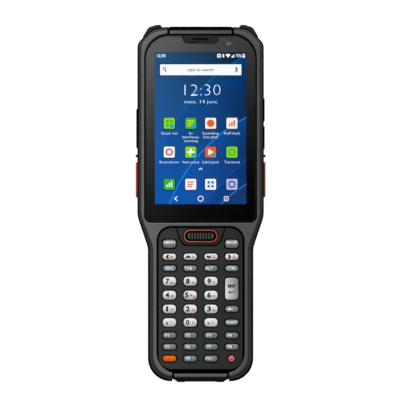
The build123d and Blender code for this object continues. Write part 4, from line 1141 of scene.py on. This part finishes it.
# row, column, tile colour, then each motif with its colour
TILES = (
    (0, 0, "lime", ((grid, "green"), (corner_block, "teal"))),
    (0, 1, "green", ((lines, "yellow"), (corner_block, "teal"))),
    (0, 2, "cream", ((dot, "orange"),)),
    (0, 3, "cream", ((bars, "red"),)),
    (1, 0, "white", ((ring_motif, "red"),)),
    (1, 1, "lime", ((plus, "white"), (corner_block, "teal"))),
    (1, 2, "orange", ((wedge, "cream"), (corner_block, "teal"))),
    (1, 3, "lime", ((ring_motif, "green"),)),
    (2, 0, "green", ((bars, "white"),)),
    (2, 1, "white", ((lines, "red"),)),
    (2, 2, "white", ((grid, "blue"),)),
    (2, 3, "lavender", ((ring_motif, "indigo"),)),
)
# words under the tiles: row of tiles, line under it, then each word with its width in mm
WORDS = (
    (0, 0, (("Stock list", 9.2), ("In", 1.6), ("Loading", 9.0), ("Shelf check", 9.2))),
    (0, 1, ((), ("warehouse", 9.3), ("bay plan", 8.0), ())),
    (0, 2, ((), ("counting", 7.6), (), ())),
    (1, 0, (("Route planner", 11.0), ("Item entry", 9.3), ("Label print", 9.3), ("Task board", 8.6))),
)
WORD_PITCH = 2.15
WORD_SIZE = 2.15
WORD_WEIGHT = -0.04
SHADOW_SIZE = TILE_SIZE + 0.9
SHADOW_DROP = 0.1
for row, column, colour, motifs in TILES:
    x, y = TILE_COLUMNS[column], TILE_ROWS[row]
    mark("shadow", [rounded_box(x, y - SHADOW_DROP, SHADOW_SIZE, SHADOW_SIZE, TILE_RADIUS)], "shadow")
    mark(colour, [rounded_box(x, y, TILE_SIZE, TILE_SIZE, TILE_RADIUS)], "tile")
    for level, (motif, motif_colour) in zip(("motif", "top"), motifs):
        mark(motif_colour, motif(x, y), level)
for row, line, words in WORDS:
    y = TILE_ROWS[row] - WORD_DROP - line * WORD_PITCH
    for x, word in zip(TILE_COLUMNS, words):
        if word:
            caption("bright", word[0], x, y, WORD_SIZE, WORD_WEIGHT, word[1])
chevron = [(0.0, 20.4), (-1.15, 19.3), (-0.85, 19.0), (0.0, 19.8), (0.85, 19.0), (1.15, 19.3)]
mark("white", [filleted(chevron, [0.05] * 6, 2)])
print("words under the tiles:", sum(len([word for word in words if word]) for _, _, words in WORDS))

# %% Buttons at the bottom of the screen
BUTTON_Y = 2.75
arrow = [(-13.4, 1.5), (-15.2, 0.0), (-13.4, -1.5), (-13.05, -1.1), (-14.3, 0.0), (-13.05, 1.1)]
mark("white", [filleted([(x, BUTTON_Y + y) for x, y in arrow], [0.1] * 6, 2)])
mark("white", [disc(0.0, BUTTON_Y, 1.65), disc(0.0, BUTTON_Y, 1.2)])
mark("white", [rounded_box(14.6, BUTTON_Y, 2.7, 2.8, 0.8), rounded_box(14.6, BUTTON_Y, 1.9, 2.0, 0.45)])
mark("lavender", [rounded_box(14.6, BUTTON_Y - 0.1, 1.1, 1.0, 0.2)])

for colour, parts in screen_marks.items():
    place(f"screen_marks_{colour}", joined(parts), [LIT[colour]], "housing")
print("marks on the screen:", sum(len(parts) for parts in screen_marks.values()))

# %% [markdown]
# ## Seals
# Black sponge rubber fills the grooves around the glass, around the keypad panel and around the scan
# key's island. Each seal is a flat slab, a little lower than its neighbours.

# %% Seals
GLASS_SEAL_WIDTH = 0.8
SEAL_CLEARANCE = 0.06
SEAL_LIFT = 0.01
GLASS_SEAL_TOP = 0.5
PANEL_SEAL_TOP = 0.7


def glass_ring(grow):
    """Rectangle around the glass, grown by a margin."""
    half = glass_half + grow
    right = [(half, glass_low.y - grow), (half, glass_high.y + grow)]
    return mirrored(right, [GLASS_LOW_RADIUS + grow, GLASS_TOP_RADIUS + grow])


glass_seal = slab(
    [glass_ring(GLASS_SEAL_WIDTH), glass_ring(SEAL_CLEARANCE)],
    glass_low.z + SEAL_LIFT,
    glass_low.z + GLASS_SEAL_TOP,
)
place("glass_seal", glass_seal, [seal_rubber], "housing")

PANEL_SEAL_SIDE = 1.1
PANEL_SEAL_BOTTOM = 2.25
PANEL_LOW_RADIUS = 6.8
PANEL_TOP_RADIUS = 7.3
GROOVE_LOW_RADIUS = 11.5


def panel_ring(side, bottom, low_radius):
    """Outline of the keypad panel, grown at its sides and at its bottom."""
    half = panel_high.x + side
    right = [(half, panel_low.y - bottom), (half, panel_high.y + side)]
    return mirrored(right, [low_radius, PANEL_TOP_RADIUS + side])


panel_seal = slab(
    [
        panel_ring(PANEL_SEAL_SIDE, PANEL_SEAL_BOTTOM, GROOVE_LOW_RADIUS),
        panel_ring(SEAL_CLEARANCE, SEAL_CLEARANCE, PANEL_LOW_RADIUS),
    ],
    panel_low.z + SEAL_LIFT,
    panel_low.z + PANEL_SEAL_TOP,
)
place("panel_seal", panel_seal, [seal_rubber], "housing")

# %% Seal in the groove around the scan key's island
ISLAND_TOP_HALF = 14.0
ISLAND_LOW_HALF = 10.4
ISLAND_TOP = -14.0
ISLAND_BOTTOM = -23.8
ISLAND_SEAL_HALF = 0.32
ISLAND_SEAL_END = 0.35
ISLAND_SEAL_DEPTHS = (0.79, 0.3)
ISLAND_RADII = (0.01, 4.5, 4.5, 0.01)


def island_side(grow):
    """Open line down the right side of the island, along its bottom and up its left side."""
    slope = (ISLAND_TOP_HALF - ISLAND_LOW_HALF) / (ISLAND_TOP - ISLAND_BOTTOM)
    top = ISLAND_TOP - ISLAND_SEAL_END
    bottom = ISLAND_BOTTOM - grow
    upper_half = ISLAND_TOP_HALF - ISLAND_SEAL_END * slope + grow
    lower_half = ISLAND_LOW_HALF + grow
    corners = [(upper_half, top), (lower_half, bottom), (-lower_half, bottom), (-upper_half, top)]
    return filleted(corners, ISLAND_RADII, 8)


outer_line = island_side(ISLAND_SEAL_HALF)
inner_line = island_side(-ISLAND_SEAL_HALF)
island_levels = [panel_high.z - depth for depth in ISLAND_SEAL_DEPTHS]
island_seal = slab([outer_line + inner_line[::-1]], *island_levels)
place("island_seal", island_seal, [seal_rubber], "housing")
print("island seal from", round(island_levels[0], 2), "to", round(island_levels[1], 2), "mm")

# %% [markdown]
# ## Key caps
# A key cap is a rounded rectangle with a cushion-shaped top: highest along its middle line and
# falling towards its upper and lower edge, so that a finger finds it. It is built from rings, from
# the flange up over the rounded edge and in to the middle line. All rings have the same number of
# points, so neighbours join with four-sided faces.

# %% Cap measures
KEY_TOP = 29.1
FLANGE_LOW = 25.3
FLANGE_TOP = 26.1
FLANGE_GROWTH = 0.85
SKIRT_TOP = 27.3
EDGE_RADIUS = 0.5
EDGE_RINGS = 4
INNER_RINGS = 6
SIDE_STEPS = 6
CORNER_STEPS = 4
SMALLEST_RADIUS = 0.03
MIDDLE_GAP = 0.05
SHARP_ANGLE = math.radians(50)


# %% Rings of a cap
def crown_drop(y, half_height, crown, power):
    """How far the top lies below the key's middle line, at a distance from it."""
    return crown * min(abs(y) / half_height, 1.0) ** power


def ring_points(width, height, radius):
    """Points of one ring: round corners, and extra points along the upright sides."""
    w, h = width / 2, height / 2
    r = min(radius, w - 0.01, h - 0.01)
    centres = ((w - r, h - r), (r - w, h - r), (r - w, r - h), (w - r, r - h))
    points = []
    for turn, (centre_x, centre_y) in enumerate(centres):
        for k in range(CORNER_STEPS + 1):
            angle = math.pi / 2 * (turn + k / CORNER_STEPS)
            points.append((centre_x + r * math.cos(angle), centre_y + r * math.sin(angle)))
        if turn in (1, 3):
            side = w if turn == 3 else -w
            start, end = (r - h, h - r) if turn == 3 else (h - r, r - h)
            for k in range(1, SIDE_STEPS):
                points.append((side, start + (end - start) * k / SIDE_STEPS))
    return points


# %% A cap from its rings
def cap_mesh(x, y, width, height, radius, crown, power):
    """A crowned key cap, closed all round. Material 0 is the cap and 1 the dark skirt, whose black is partly
    painted shade in the gap around the cap.
    """
    shoulder = KEY_TOP - EDGE_RADIUS - crown
    rings = [
        (FLANGE_GROWTH, FLANGE_LOW, 1),
        (FLANGE_GROWTH, FLANGE_TOP, 1),
        (0.0, FLANGE_TOP, 1),
        (0.0, SKIRT_TOP, 0),
        (0.0, shoulder, 0),
    ]
    for k in range(1, EDGE_RINGS + 1):
        angle = math.pi / 2 * k / EDGE_RINGS
        rings.append((EDGE_RADIUS * (math.cos(angle) - 1), KEY_TOP - EDGE_RADIUS * (1 - math.sin(angle)), 0))
    deepest = min(width, height) / 2 - MIDDLE_GAP
    for k in range(1, INNER_RINGS + 1):
        inset = EDGE_RADIUS + (deepest - EDGE_RADIUS) * k / INNER_RINGS
        rings.append((-inset, KEY_TOP, 0))
    build = bmesh.new()
    rows = []
    for growth, level, _ in rings:
        row = []
        corner = max(radius + growth, SMALLEST_RADIUS)
        for px, py in ring_points(width + 2 * growth, height + 2 * growth, corner):
            drop = crown_drop(py, height / 2, crown, power) if level > shoulder else 0.0
            row.append(build.verts.new((x + px, y + py, level - drop)))
        rows.append(row)
    for lower, upper, (_, _, index) in zip(rows, rows[1:], rings):
        for k in range(len(lower)):
            after = (k + 1) % len(lower)
            face = build.faces.new((lower[k], lower[after], upper[after], upper[k]))
            face.material_index = index
    build.faces.new(rows[-1])
    build.faces.new(rows[0][::-1]).material_index = 1
    bmesh.ops.recalc_face_normals(build, faces=build.faces)
    mesh = mesh_from(build, "cap", smooth=True)
    mesh.set_sharp_from_angle(angle=SHARP_ANGLE)
    return mesh


# %% [markdown]
# ## Legends
# The main legend of each key is screen printed, and a second, orange one beside it is what the key
# gives with the orange key held. The ink follows the crown of the cap: the letters are cut into
# narrow strips and each point is lowered onto the cap.

# %% Inks
INKS = (
    moulded("legend_ink_black", "#040405", "#060607", 0.6, depth=0.004, Specular_IOR_Level=0.1),
    moulded("legend_ink_white", "#f2f8fa", "#eaf0f2", 0.45, depth=0.004),
    moulded("legend_ink_orange", "#d98a58", "#d4824e", 0.5, depth=0.004, Specular_IOR_Level=0.1),
    moulded("legend_ink_dark_red", "#5a0814", "#640a18", 0.5, depth=0.004),
    moulded("legend_ink_pale_grey", "#a4a6a8", "#9c9ea0", 0.45, depth=0.004),
)
BLACK, WHITE, ORANGE, DARK_RED, PALE = range(5)
INK_LOW = -0.03
INK_HIGH = 0.025
STRIP = 0.4

# %% What each key says
# main legend: text, size, width, shift to the side
MAIN_LEGENDS = {
    "menu": ("MENU", 1.9, 6.0, 0.0),
    "back": ("BACK", 1.9, 6.0, 0.0),
    "esc": ("ESC", 2.5, 4.6, 0.1),
    "tab": ("TAB", 2.5, 4.4, -1.1),
    "alt": ("ALT", 2.5, 4.4, -1.0),
    "ctrl": ("CTRL", 2.5, 5.3, -0.1),
    "7": ("7", 3.9, 2.2, -1.2),
    "8": ("8", 3.9, 2.15, -1.4),
    "9": ("9", 3.9, 2.1, -1.0),
    "4": ("4", 3.9, 2.2, -1.15),
    "5": ("5", 3.9, 2.2, -1.95),
    "6": ("6", 3.9, 2.1, -1.15),
    "1": ("1", 3.9, 1.1, -1.3),
    "2": ("2", 3.9, 2.2, -1.4),
    "3": ("3", 3.9, 2.15, -1.1),
    "star": (",", 6.0, 1.0, -1.4),
    "0": ("0", 3.7, 1.95, -1.45),
    "dot": (".", 7.0, 1.0, -1.45),
    "shift": ("SHIFT", 1.9, 6.0, 0.0),
    "f1": ("F1", 2.45, 2.2, -1.15),
    "f2": ("F2", 2.45, 2.3, -1.2),
    "f3": ("F3", 2.45, 2.4, -1.0),
    "f4": ("F4", 2.45, 2.4, -1.2),
    "f5": ("F5", 2.45, 2.2, -1.2),
    "f6": ("F6", 2.45, 2.3, -1.3),
    "f7": ("F7", 2.45, 2.3, -1.0),
    "f8": ("F8", 2.45, 2.4, -1.2),
    "f9": ("F9", 2.45, 2.3, -1.3),
    "f10": ("F10", 2.45, 3.2, -1.4),
}
# arrow keys: quarter turns of the arrow head from pointing up, shift to the side
ARROW_HEADS = {"up": (0, -1.2), "left": (1, -1.1), "down": (2, -1.2), "right": (3, -1.3)}
# second legend: text, width, shift to the side, shift up; its ink is orange where none is given
SECOND_LEGENDS = {
    "menu": ("=", 2.6, 0.0, -0.95),
    "back": ("+ +", 3.3, 0.0, -0.95),
    "left": ("#", 2.0, 1.15, 0.0),
    "up": ("&", 1.6, 1.75, 0.0),
    "down": ("%", 2.0, 1.6, 0.0),
    "right": ("@", 2.2, 1.4, 0.0),
    "tab": ("/", 1.4, 2.2, 0.0),
    "alt": (":", 0.9, 2.1, 0.0),
    "7": ("pq", 2.1, 1.5, -0.7),
    "8": ("tu", 1.9, 1.85, -0.7),
    "9": ("w", 1.6, 1.7, -0.3, PALE),
    "4": ("gh", 1.8, 1.7, -0.3, PALE),
    "5": ("jk", 1.9, 2.2, -0.8),
    "6": ("m", 1.6, 1.7, -0.3, PALE),
    "1": ("?!", 1.9, 1.4, -0.5),
    "2": ("ab", 1.9, 1.85, -0.5),
    "3": ("de", 1.8, 1.6, -0.5),
    "star": ("*", 1.6, 1.2, -0.2),
    "0": ("()", 1.5, 1.7, -0.3),
    "dot": ("+", 1.3, 1.0, 0.0),
    "f1": ("A", 1.3, 1.9, 0.0),
    "f4": ("D", 1.0, 1.9, 0.0),
    "f5": ("E", 1.4, 1.3, 0.0),
    "f6": ("F", 1.2, 1.8, 0.0),
    "f8": ("H", 1.2, 1.8, 0.0),
    "f9": ("I", 0.6, 1.6, 0.0),
    "f10": ("J", 1.6, 1.5, 0.0),
}
# On these keys the word stands over the second legend, so it is raised.
STACKED_KEYS = ("menu", "back")
STACKED_LIFT = 0.75
STACKED_SIZE = 2.4
SECOND_SIZE = 2.3
SECOND_WEIGHT = 0.06
LEGEND_WEIGHT = 0.07
BOLD_WEIGHT = 0.15
# Letters are centred on the height of a capital, and signs that sit low are moved up to it.
SIGN_LIFT = {",": 1.3, ".": 1.35}
print("legends:", len(MAIN_LEGENDS) + len(ARROW_HEADS), "second legends:", len(SECOND_LEGENDS))


# %% Drawn signs
def ink_slab(outlines):
    """Printed shape lying flat at height 0."""
    return slab(outlines, INK_LOW, INK_HIGH)


def ink_sign(corners, x, y):
    """Printed polygon with slightly soft corners, placed about a point."""
    return ink_slab([filleted([(x + a, y + b) for a, b in corners], [0.05] * len(corners), 2)])


def enter_marks(x, y):
    """ENT over an arrow that turns back to the left."""
    arrow = [(1.9, 1.0), (2.3, 0.9), (2.2, 0.1), (1.4, -0.5), (-0.8, -0.7), (-0.8, -0.15), (-2.1, -0.95)]
    arrow += [(-0.8, -1.75), (-0.8, -1.2), (1.6, -0.95), (2.0, -0.2)]
    letters = lettering("ENT", x, y + 1.5, INK_LOW, INK_HIGH, 2.2, 0.14, 4.5)
    return [(letters, BLACK), (ink_sign(arrow, x, y - 1.0), BLACK)]


def backspace_marks(x, y):
    """A thick arrow to the left, and a small orange second legend."""
    arrow = [(-0.4, 0.35), (-0.4, 1.0), (-2.6, 0.0), (-0.4, -1.0), (-0.4, -0.35), (1.0, -0.35), (1.0, 0.35)]
    second = lettering("Del", x + 2.1, y - 0.3, INK_LOW, INK_HIGH, 1.7, 0.04, 1.9)
    return [(ink_sign(arrow, x - 0.4, y), WHITE), (second, ORANGE)]


def power_marks(x, y):
    """The stand-by sign: an open ring with a bar through its gap."""
    outer, inner, gap, steps = 0.85, 0.5, math.radians(35), 20
    sweep = [gap + (2 * math.pi - 2 * gap) * k / steps for k in range(steps + 1)]
    rim = [Vector((x + outer * math.sin(a), y + outer * math.cos(a))) for a in sweep]
    rim += [Vector((x + inner * math.sin(a), y + inner * math.cos(a))) for a in reversed(sweep)]
    bar = rounded_box(x, y + 0.55, 0.3, 0.8, 0.1)
    return [(ink_slab([rim]), DARK_RED), (ink_slab([bar]), DARK_RED)]


def arrow_head(x, y, turns):
    """A bold arrow head that points up, turned anticlockwise by quarter turns."""
    points = [(0.0, 1.05), (-1.4, -0.2), (-0.8, -0.95), (0.0, -0.15), (0.8, -0.95), (1.4, -0.2)]
    for _ in range(turns):
        points = [(-b, a) for a, b in points]
    return ink_sign(points, x, y)


# %% Legends of one key
def printed_text(short_name, x, y, ink):
    """The main legend of a key that says a word, a digit or a sign."""
    text, size, width, shift = MAIN_LEGENDS[short_name]
    lift = SIGN_LIFT.get(text, 0.0) + (STACKED_LIFT if short_name in STACKED_KEYS else 0.0)
    weight = BOLD_WEIGHT if len(text) == 1 else LEGEND_WEIGHT
    return lettering(text, x + shift, y + lift, INK_LOW, INK_HIGH, size, weight, width), ink


def second_text(short_name, x, y):
    """The small second legend of a key."""
    text, width, shift, rise, *given_ink = SECOND_LEGENDS[short_name]
    size = STACKED_SIZE if short_name in STACKED_KEYS else SECOND_SIZE
    ink = given_ink[0] if given_ink else ORANGE
    return lettering(text, x + shift, y + rise, INK_LOW, INK_HIGH, size, SECOND_WEIGHT, width), ink


DRAWN_LEGENDS = {"enter": enter_marks, "backspace": backspace_marks, "power": power_marks}


def legend_marks(short_name, x, y):
    """The legend of a key as (mesh, ink) pairs lying flat at height 0."""
    if short_name in DRAWN_LEGENDS:
        return DRAWN_LEGENDS[short_name](x, y)
    ink = BLACK if slot_of["key_" + short_name] == "white_key" else WHITE
    marks = []
    if short_name in ARROW_HEADS:
        turns, shift = ARROW_HEADS[short_name]
        marks.append((arrow_head(x + shift, y, turns), ink))
    if short_name in MAIN_LEGENDS:
        marks.append(printed_text(short_name, x, y, ink))
    if short_name in SECOND_LEGENDS:
        marks.append(second_text(short_name, x, y))
    if short_name == "5":
        # The middle key of the digits has a dot, which marks where the finger rests.
        marks.append((ink_slab([disc(x + 0.35, y, 0.5)]), BLACK))
    return marks


# %% Ink on the crown
def laid_on_cap(mesh, y, height, crown, power):
    """Cuts flat marks into strips and lowers each point onto the crown of the cap."""
    build = bmesh.new()
    build.from_mesh(mesh)
    for k in range(math.ceil(height / STRIP) + 1):
        level = y - height / 2 + k * STRIP
        everything = build.verts[:] + build.edges[:] + build.faces[:]
        bmesh.ops.bisect_plane(build, geom=everything, plane_co=(0, level, 0), plane_no=(0, 1, 0))
    for vertex in build.verts:
        vertex.co.z += KEY_TOP - crown_drop(vertex.co.y - y, height / 2, crown, power)
    build.to_mesh(mesh)
    build.free()
    return mesh


# %% Make all caps and legends
TALL_KEY = 6.0
WIDE_KEY = 4.8
CROWN_SHARE = 0.16
ROUND_FLANGE_EXTRA = 0.3
for name in key_names:
    low, high = corners_of(name)
    x, y = (low.x + high.x) / 2, (low.y + high.y) / 2
    short_name = name[len("key_") :]
    round_key = short_name == "power"
    growth = FLANGE_GROWTH + (ROUND_FLANGE_EXTRA if round_key else 0.0)
    width, height = high.x - low.x - 2 * growth, high.y - low.y - 2 * growth
    if height > TALL_KEY:
        radius, crown, power = 1.6, 0.55, 6
    elif round_key:
        radius, crown, power = width / 2 - 0.01, 0.3, 2
    elif height > WIDE_KEY:
        radius, crown, power = 2.0, CROWN_SHARE * height, 2
    else:
        radius, crown, power = min(height / 2 - 0.1, 1.65), CROWN_SHARE * height, 2
    mesh = cap_mesh(x, y, width, height, radius, crown, power)
    cap = place(f"cap_{short_name}", mesh, [FINISHES[name], key_skirt], name)
    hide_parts(name)
    marks = legend_marks(short_name, x, y)
    if marks:
        legend = laid_on_cap(joined(marks), y, height, crown, power)
        place(f"legend_{short_name}", legend, INKS, name)
print("caps made:", len(key_names))

# %% [markdown]
# ## The highlight line of the scan ring
# The ring around the scan key is no lamp: a thin line along its middle glows as a painted highlight,
# and the plastic on both sides of it stays dark red. The line is a flat band on the ring's top.

# %% Painted highlight line
ring_low, ring_high = corners_of("scan_ring")
ring_x, ring_y = (ring_low.x + ring_high.x) / 2, (ring_low.y + ring_high.y) / 2
LINE_INSET = 0.22
LINE_WIDTH = 0.42
line_outlines = []
for inset in (LINE_INSET, LINE_INSET + LINE_WIDTH):
    length, breadth = ring_high.x - ring_low.x - 2 * inset, ring_high.y - ring_low.y - 2 * inset
    line_outlines.append(rounded_box(ring_x, ring_y, length, breadth, breadth / 2 - 0.001, 12))
LINE_LOW = -0.02
LINE_HIGH = 0.04
ring_highlight_slab = slab(line_outlines, ring_high.z + LINE_LOW, ring_high.z + LINE_HIGH)
place("scan_ring_painted_highlight_band", ring_highlight_slab, [ring_highlight_material], "housing")
print("lit line is", LINE_WIDTH, "mm wide")

# %% [markdown]
# ## Wire cloth and contacts with Geometry Nodes
# Behind the receiver slot and the loudspeaker slots lies woven wire cloth, and the port, the battery
# and its bay have rows of gold contacts. Both are one small shape repeated on a line, which is what
# Geometry Nodes do best: a line of points, an instance on each, realised and given its material.


# %% A tree that repeats a bar along a line
def bar_row_tree(material):
    """Geometry Nodes tree: Count bars of a Bar size, Pitch apart, in a row from Start."""
    tree = bpy.data.node_groups.new("bar_row", "GeometryNodeTree")
    tree.interface.new_socket("Geometry", in_out="OUTPUT", socket_type="NodeSocketGeometry")
    tree.interface.new_socket("Count", in_out="INPUT", socket_type="NodeSocketInt")
    for label in ("Start", "Pitch", "Bar"):
        tree.interface.new_socket(label, in_out="INPUT", socket_type="NodeSocketVector")
    given = add_node(tree, "NodeGroupInput")
    layout = {"Count": (given, "Count"), "Start Location": (given, "Start"), "Offset": (given, "Pitch")}
    line = add_node(tree, "GeometryNodeMeshLine", links=layout, mode="OFFSET")
    bar = add_node(tree, "GeometryNodeMeshCube", links={"Size": (given, "Bar")})
    parts = {"Points": (line, "Mesh"), "Instance": (bar, "Mesh")}
    repeated = add_node(tree, "GeometryNodeInstanceOnPoints", links=parts)
    real = add_node(tree, "GeometryNodeRealizeInstances", links={"Geometry": (repeated, "Instances")})
    finished = add_node(tree, "GeometryNodeSetMaterial", links={"Geometry": (real, "Geometry")})
    finished.inputs["Material"].default_value = material
    result = add_node(tree, "NodeGroupOutput")
    tree.links.new(finished.outputs["Geometry"], result.inputs["Geometry"])
    return tree


# %% One row of bars
def bar_row(material, count, start, pitch, bar):
    """One evaluated row of bars as a plain mesh in millimetres."""
    tree = bar_row_tree(material)
    holder = bpy.data.objects.new("row_holder", bpy.data.meshes.new("row_holder"))
    bpy.context.scene.collection.objects.link(holder)
    modifier = holder.modifiers.new("row", "NODES")
    modifier.node_group = tree
    values = {"Count": count, "Start": start, "Pitch": pitch, "Bar": bar}
    for item in tree.interface.items_tree:
        if item.in_out == "INPUT":
            modifier[item.identifier] = values[item.name]
    bpy.context.view_layer.update()
    graph = bpy.context.evaluated_depsgraph_get()
    mesh = bpy.data.meshes.new_from_object(holder.evaluated_get(graph))
    holder.modifiers.clear()
    bpy.data.objects.remove(holder)
    return mesh


# %% Wire cloth
WIRE = 0.12
WIRE_PITCH = 0.38
WIRE_LIFT = 0.9 * WIRE


def wire_cloth(name, x, y, z, width, height):
    """Two crossed rows of thin wires."""
    columns = int(width / WIRE_PITCH) + 1
    rows = int(height / WIRE_PITCH) + 1
    upright_wire, level_wire = (WIRE, height, WIRE), (width, WIRE, WIRE)
    warp = bar_row(cloth_steel, columns, (x - width / 2, y, z), (WIRE_PITCH, 0, 0), upright_wire)
    weft = bar_row(cloth_steel, rows, (x, y - height / 2, z + WIRE_LIFT), (0, WIRE_PITCH, 0), level_wire)
    place(name, joined([(warp, 0), (weft, 0)]), [cloth_steel], "housing")
    print(name, "has", columns + rows, "wires")


# %% Cloth behind the slots
# name, X, Y and height of its middle, then its width and length
CLOTHS = (
    ("receiver_cloth", 0.0, 93.35, 27.36, 10.0, 1.9),
    ("speaker_cloth", 14.0, 66.0, 2.3, 14.6, 10.0),
)
for cloth in CLOTHS:
    wire_cloth(*cloth)

# %% [markdown]
# ### Port, contacts and lens
# Under the rubber cover sits the port: a nickel-plated shell around a plastic tongue with gold
# contacts. The pack and its bay have matching contact strips. The camera in the hump has a domed,
# coated lens.

# %% Port
PORT_Z = 14.5
PORT_FACE = -96.1
PORT_BACK = -88.8
# width, height and corner radius of each outline
SHELL_OUTSIDE = (8.95, 3.2, 1.55)
SHELL_INSIDE = (8.4, 2.65, 1.3)
TONGUE = (6.6, 0.7, 0.2)
TONGUE_SETBACK = 0.4


def upright(mesh, y_front):
    """Turns a flat slab so that it faces down the body, with its low face at a Y."""
    mesh.transform(Matrix.Translation((0, y_front, PORT_Z)) @ Matrix.Rotation(math.radians(-90), 4, "X"))
    return mesh


port_depth = PORT_BACK - PORT_FACE
shell_outlines = [rounded_box(0, 0, *SHELL_OUTSIDE), rounded_box(0, 0, *SHELL_INSIDE)]
port_shell = upright(slab(shell_outlines, 0.0, port_depth), PORT_FACE)
place("port_shell", port_shell, [port_steel], "housing")
tongue = upright(slab([rounded_box(0, 0, *TONGUE)], TONGUE_SETBACK, port_depth), PORT_FACE)
place("port_tongue", tongue, [side_key_rubber], "housing")
PIN_COUNT = 12
PIN_PITCH = 0.5
PIN_SIZE = (0.25, 3.6, 0.06)
PIN_HEIGHT = 0.36
PIN_SETBACK = 2.6
pin_start = -PIN_PITCH * (PIN_COUNT - 1) / 2
pin_rows = []
for level in (PORT_Z - PIN_HEIGHT, PORT_Z + PIN_HEIGHT):
    first_pin = (pin_start, PORT_FACE + PIN_SETBACK, level)
    pin_rows.append((bar_row(contact_gold, PIN_COUNT, first_pin, (PIN_PITCH, 0, 0), PIN_SIZE), 0))
place("port_contacts", joined(pin_rows), [contact_gold], "housing")
print("port contacts:", 2 * PIN_COUNT)

# %% Battery contacts
CONTACT_COUNT = 5
CONTACT_PITCH = 2.6
CONTACT_SIZE = (1.5, 4.0, 0.08)
CONTACT_Y = 14.0
contact_start = -CONTACT_PITCH * (CONTACT_COUNT - 1) / 2
for name, body, level in (("bay_contacts", "housing", 15.26), ("pack_contacts", "battery_pack", 15.03)):
    first_contact = (contact_start, CONTACT_Y, level)
    row = bar_row(contact_gold, CONTACT_COUNT, first_contact, (CONTACT_PITCH, 0, 0), CONTACT_SIZE)
    place(name, row, [contact_gold], body)
print("battery contacts:", 2 * CONTACT_COUNT)

# %% Camera lens
LENS_AT = (-14.0, 66.0, 0.92)
LENS_RADIUS = 2.1
LENS_FLATNESS = 0.18
lens_build = bmesh.new()
bmesh.ops.create_uvsphere(lens_build, u_segments=32, v_segments=16, radius=LENS_RADIUS)
bmesh.ops.scale(lens_build, verts=lens_build.verts, vec=(1, 1, LENS_FLATNESS))
bmesh.ops.translate(lens_build, verts=lens_build.verts, vec=LENS_AT)
place("camera_lens", mesh_from(lens_build, "lens", smooth=True), [lens_glass], "housing")
print("lens radius in mm:", LENS_RADIUS)

# %% [markdown]
# ## Studio
# A plain floor, a wide soft light from above the scanner end and a sky that is bright around the
# horizon and dark straight overhead. The dark patch overhead is what the flat glass mirrors, so that
# the screen keeps its full depth of colour. The floor is grey for the light that bounces off it, but
# anything that looks at it, straight or in a mirror or through glass, sees it glow evenly white.

# %% Floor
FLOOR_HALF = 6.0
FLOOR_DROP = 0.0002
FLOOR_GLOW = 0.93
FLOOR_GREY = (0.3, 0.3, 0.3, 1.0)
floor_mesh = bpy.data.meshes.new("studio_floor")
floor_sides = ((-1, -1), (1, -1), (1, 1), (-1, 1))
floor_corners = [(x * FLOOR_HALF, y * FLOOR_HALF, -FLOOR_DROP) for x, y in floor_sides]
floor_mesh.from_pydata(floor_corners, [], [(0, 1, 2, 3)])
floor = bpy.data.objects.new("studio_floor", floor_mesh)
bpy.context.scene.collection.objects.link(floor)

paper = bpy.data.materials.new("studio_paper")
paper.use_nodes = True
paper_tree = paper.node_tree
paper_tree.nodes.clear()
matt = add_node(paper_tree, "ShaderNodeBsdfDiffuse", {"Color": FLOOR_GREY})
rays = add_node(paper_tree, "ShaderNodeLightPath")
straight_or_mirrored = {0: (rays, "Is Camera Ray"), 1: (rays, "Is Glossy Ray")}
seen = add_node(paper_tree, "ShaderNodeMath", links=straight_or_mirrored, operation="MAXIMUM")
or_through_glass = {0: (seen, "Value"), 1: (rays, "Is Transmission Ray")}
seen_any = add_node(paper_tree, "ShaderNodeMath", links=or_through_glass, operation="MAXIMUM")
lift = add_node(paper_tree, "ShaderNodeMath", {1: FLOOR_GLOW}, {0: (seen_any, "Value")}, operation="MULTIPLY")
glow = add_node(paper_tree, "ShaderNodeEmission", links={"Strength": (lift, "Value")})
both = add_node(paper_tree, "ShaderNodeAddShader", links={0: (matt, "BSDF"), 1: (glow, "Emission")})
add_node(paper_tree, "ShaderNodeOutputMaterial", links={"Surface": (both, "Shader")})
floor_mesh.materials.append(paper)
print("floor is", 2 * FLOOR_HALF, "m wide")

# %% Sky
world = bpy.data.worlds.new("studio_sky")
bpy.context.scene.world = world
world.use_nodes = True
sky = world.node_tree
sky.nodes.clear()
ray_way = add_node(sky, "ShaderNodeTexCoord")
way = add_node(sky, "ShaderNodeSeparateXYZ", links={"Vector": (ray_way, "Generated")})
# The Z of a direction is 1 straight up. The sky is dark above 0.995 and brightens down to 0.8.
brightening = {"From Min": 0.995, "From Max": 0.8, "To Min": 0.02, "To Max": 0.62}
ring_light = add_node(sky, "ShaderNodeMapRange", brightening, {"Value": (way, "Z")}, **SMOOTH)
sky_light = add_node(sky, "ShaderNodeBackground", links={"Strength": (ring_light, "Result")})
add_node(sky, "ShaderNodeOutputWorld", links={"Surface": (sky_light, "Background")})
print("sky nodes:", len(sky.nodes))


# %% Soft light
def soft_light(name, place_m, side_m, power):
    """Square lamp that looks at the terminal."""
    data = bpy.data.lights.new(name, "AREA")
    data.size = side_m
    data.energy = power
    lamp = bpy.data.objects.new(name, data)
    lamp.location = place_m
    lamp.rotation_euler = (-Vector(place_m)).to_track_quat("-Z", "Y").to_euler()
    bpy.context.scene.collection.objects.link(lamp)
    return lamp


# The flat glass would mirror the whole lamp from some angles, so neither of its faces sees it.
lamp = soft_light("soft_light_scanner_end", (-0.1, 1.15, 0.95), 0.7, 17.0)
lamp.visible_glossy = False
lamp.visible_transmission = False
print("lamps:", len(bpy.data.lights))

# %% Colour management
bpy.context.scene.view_settings.view_transform = "Standard"
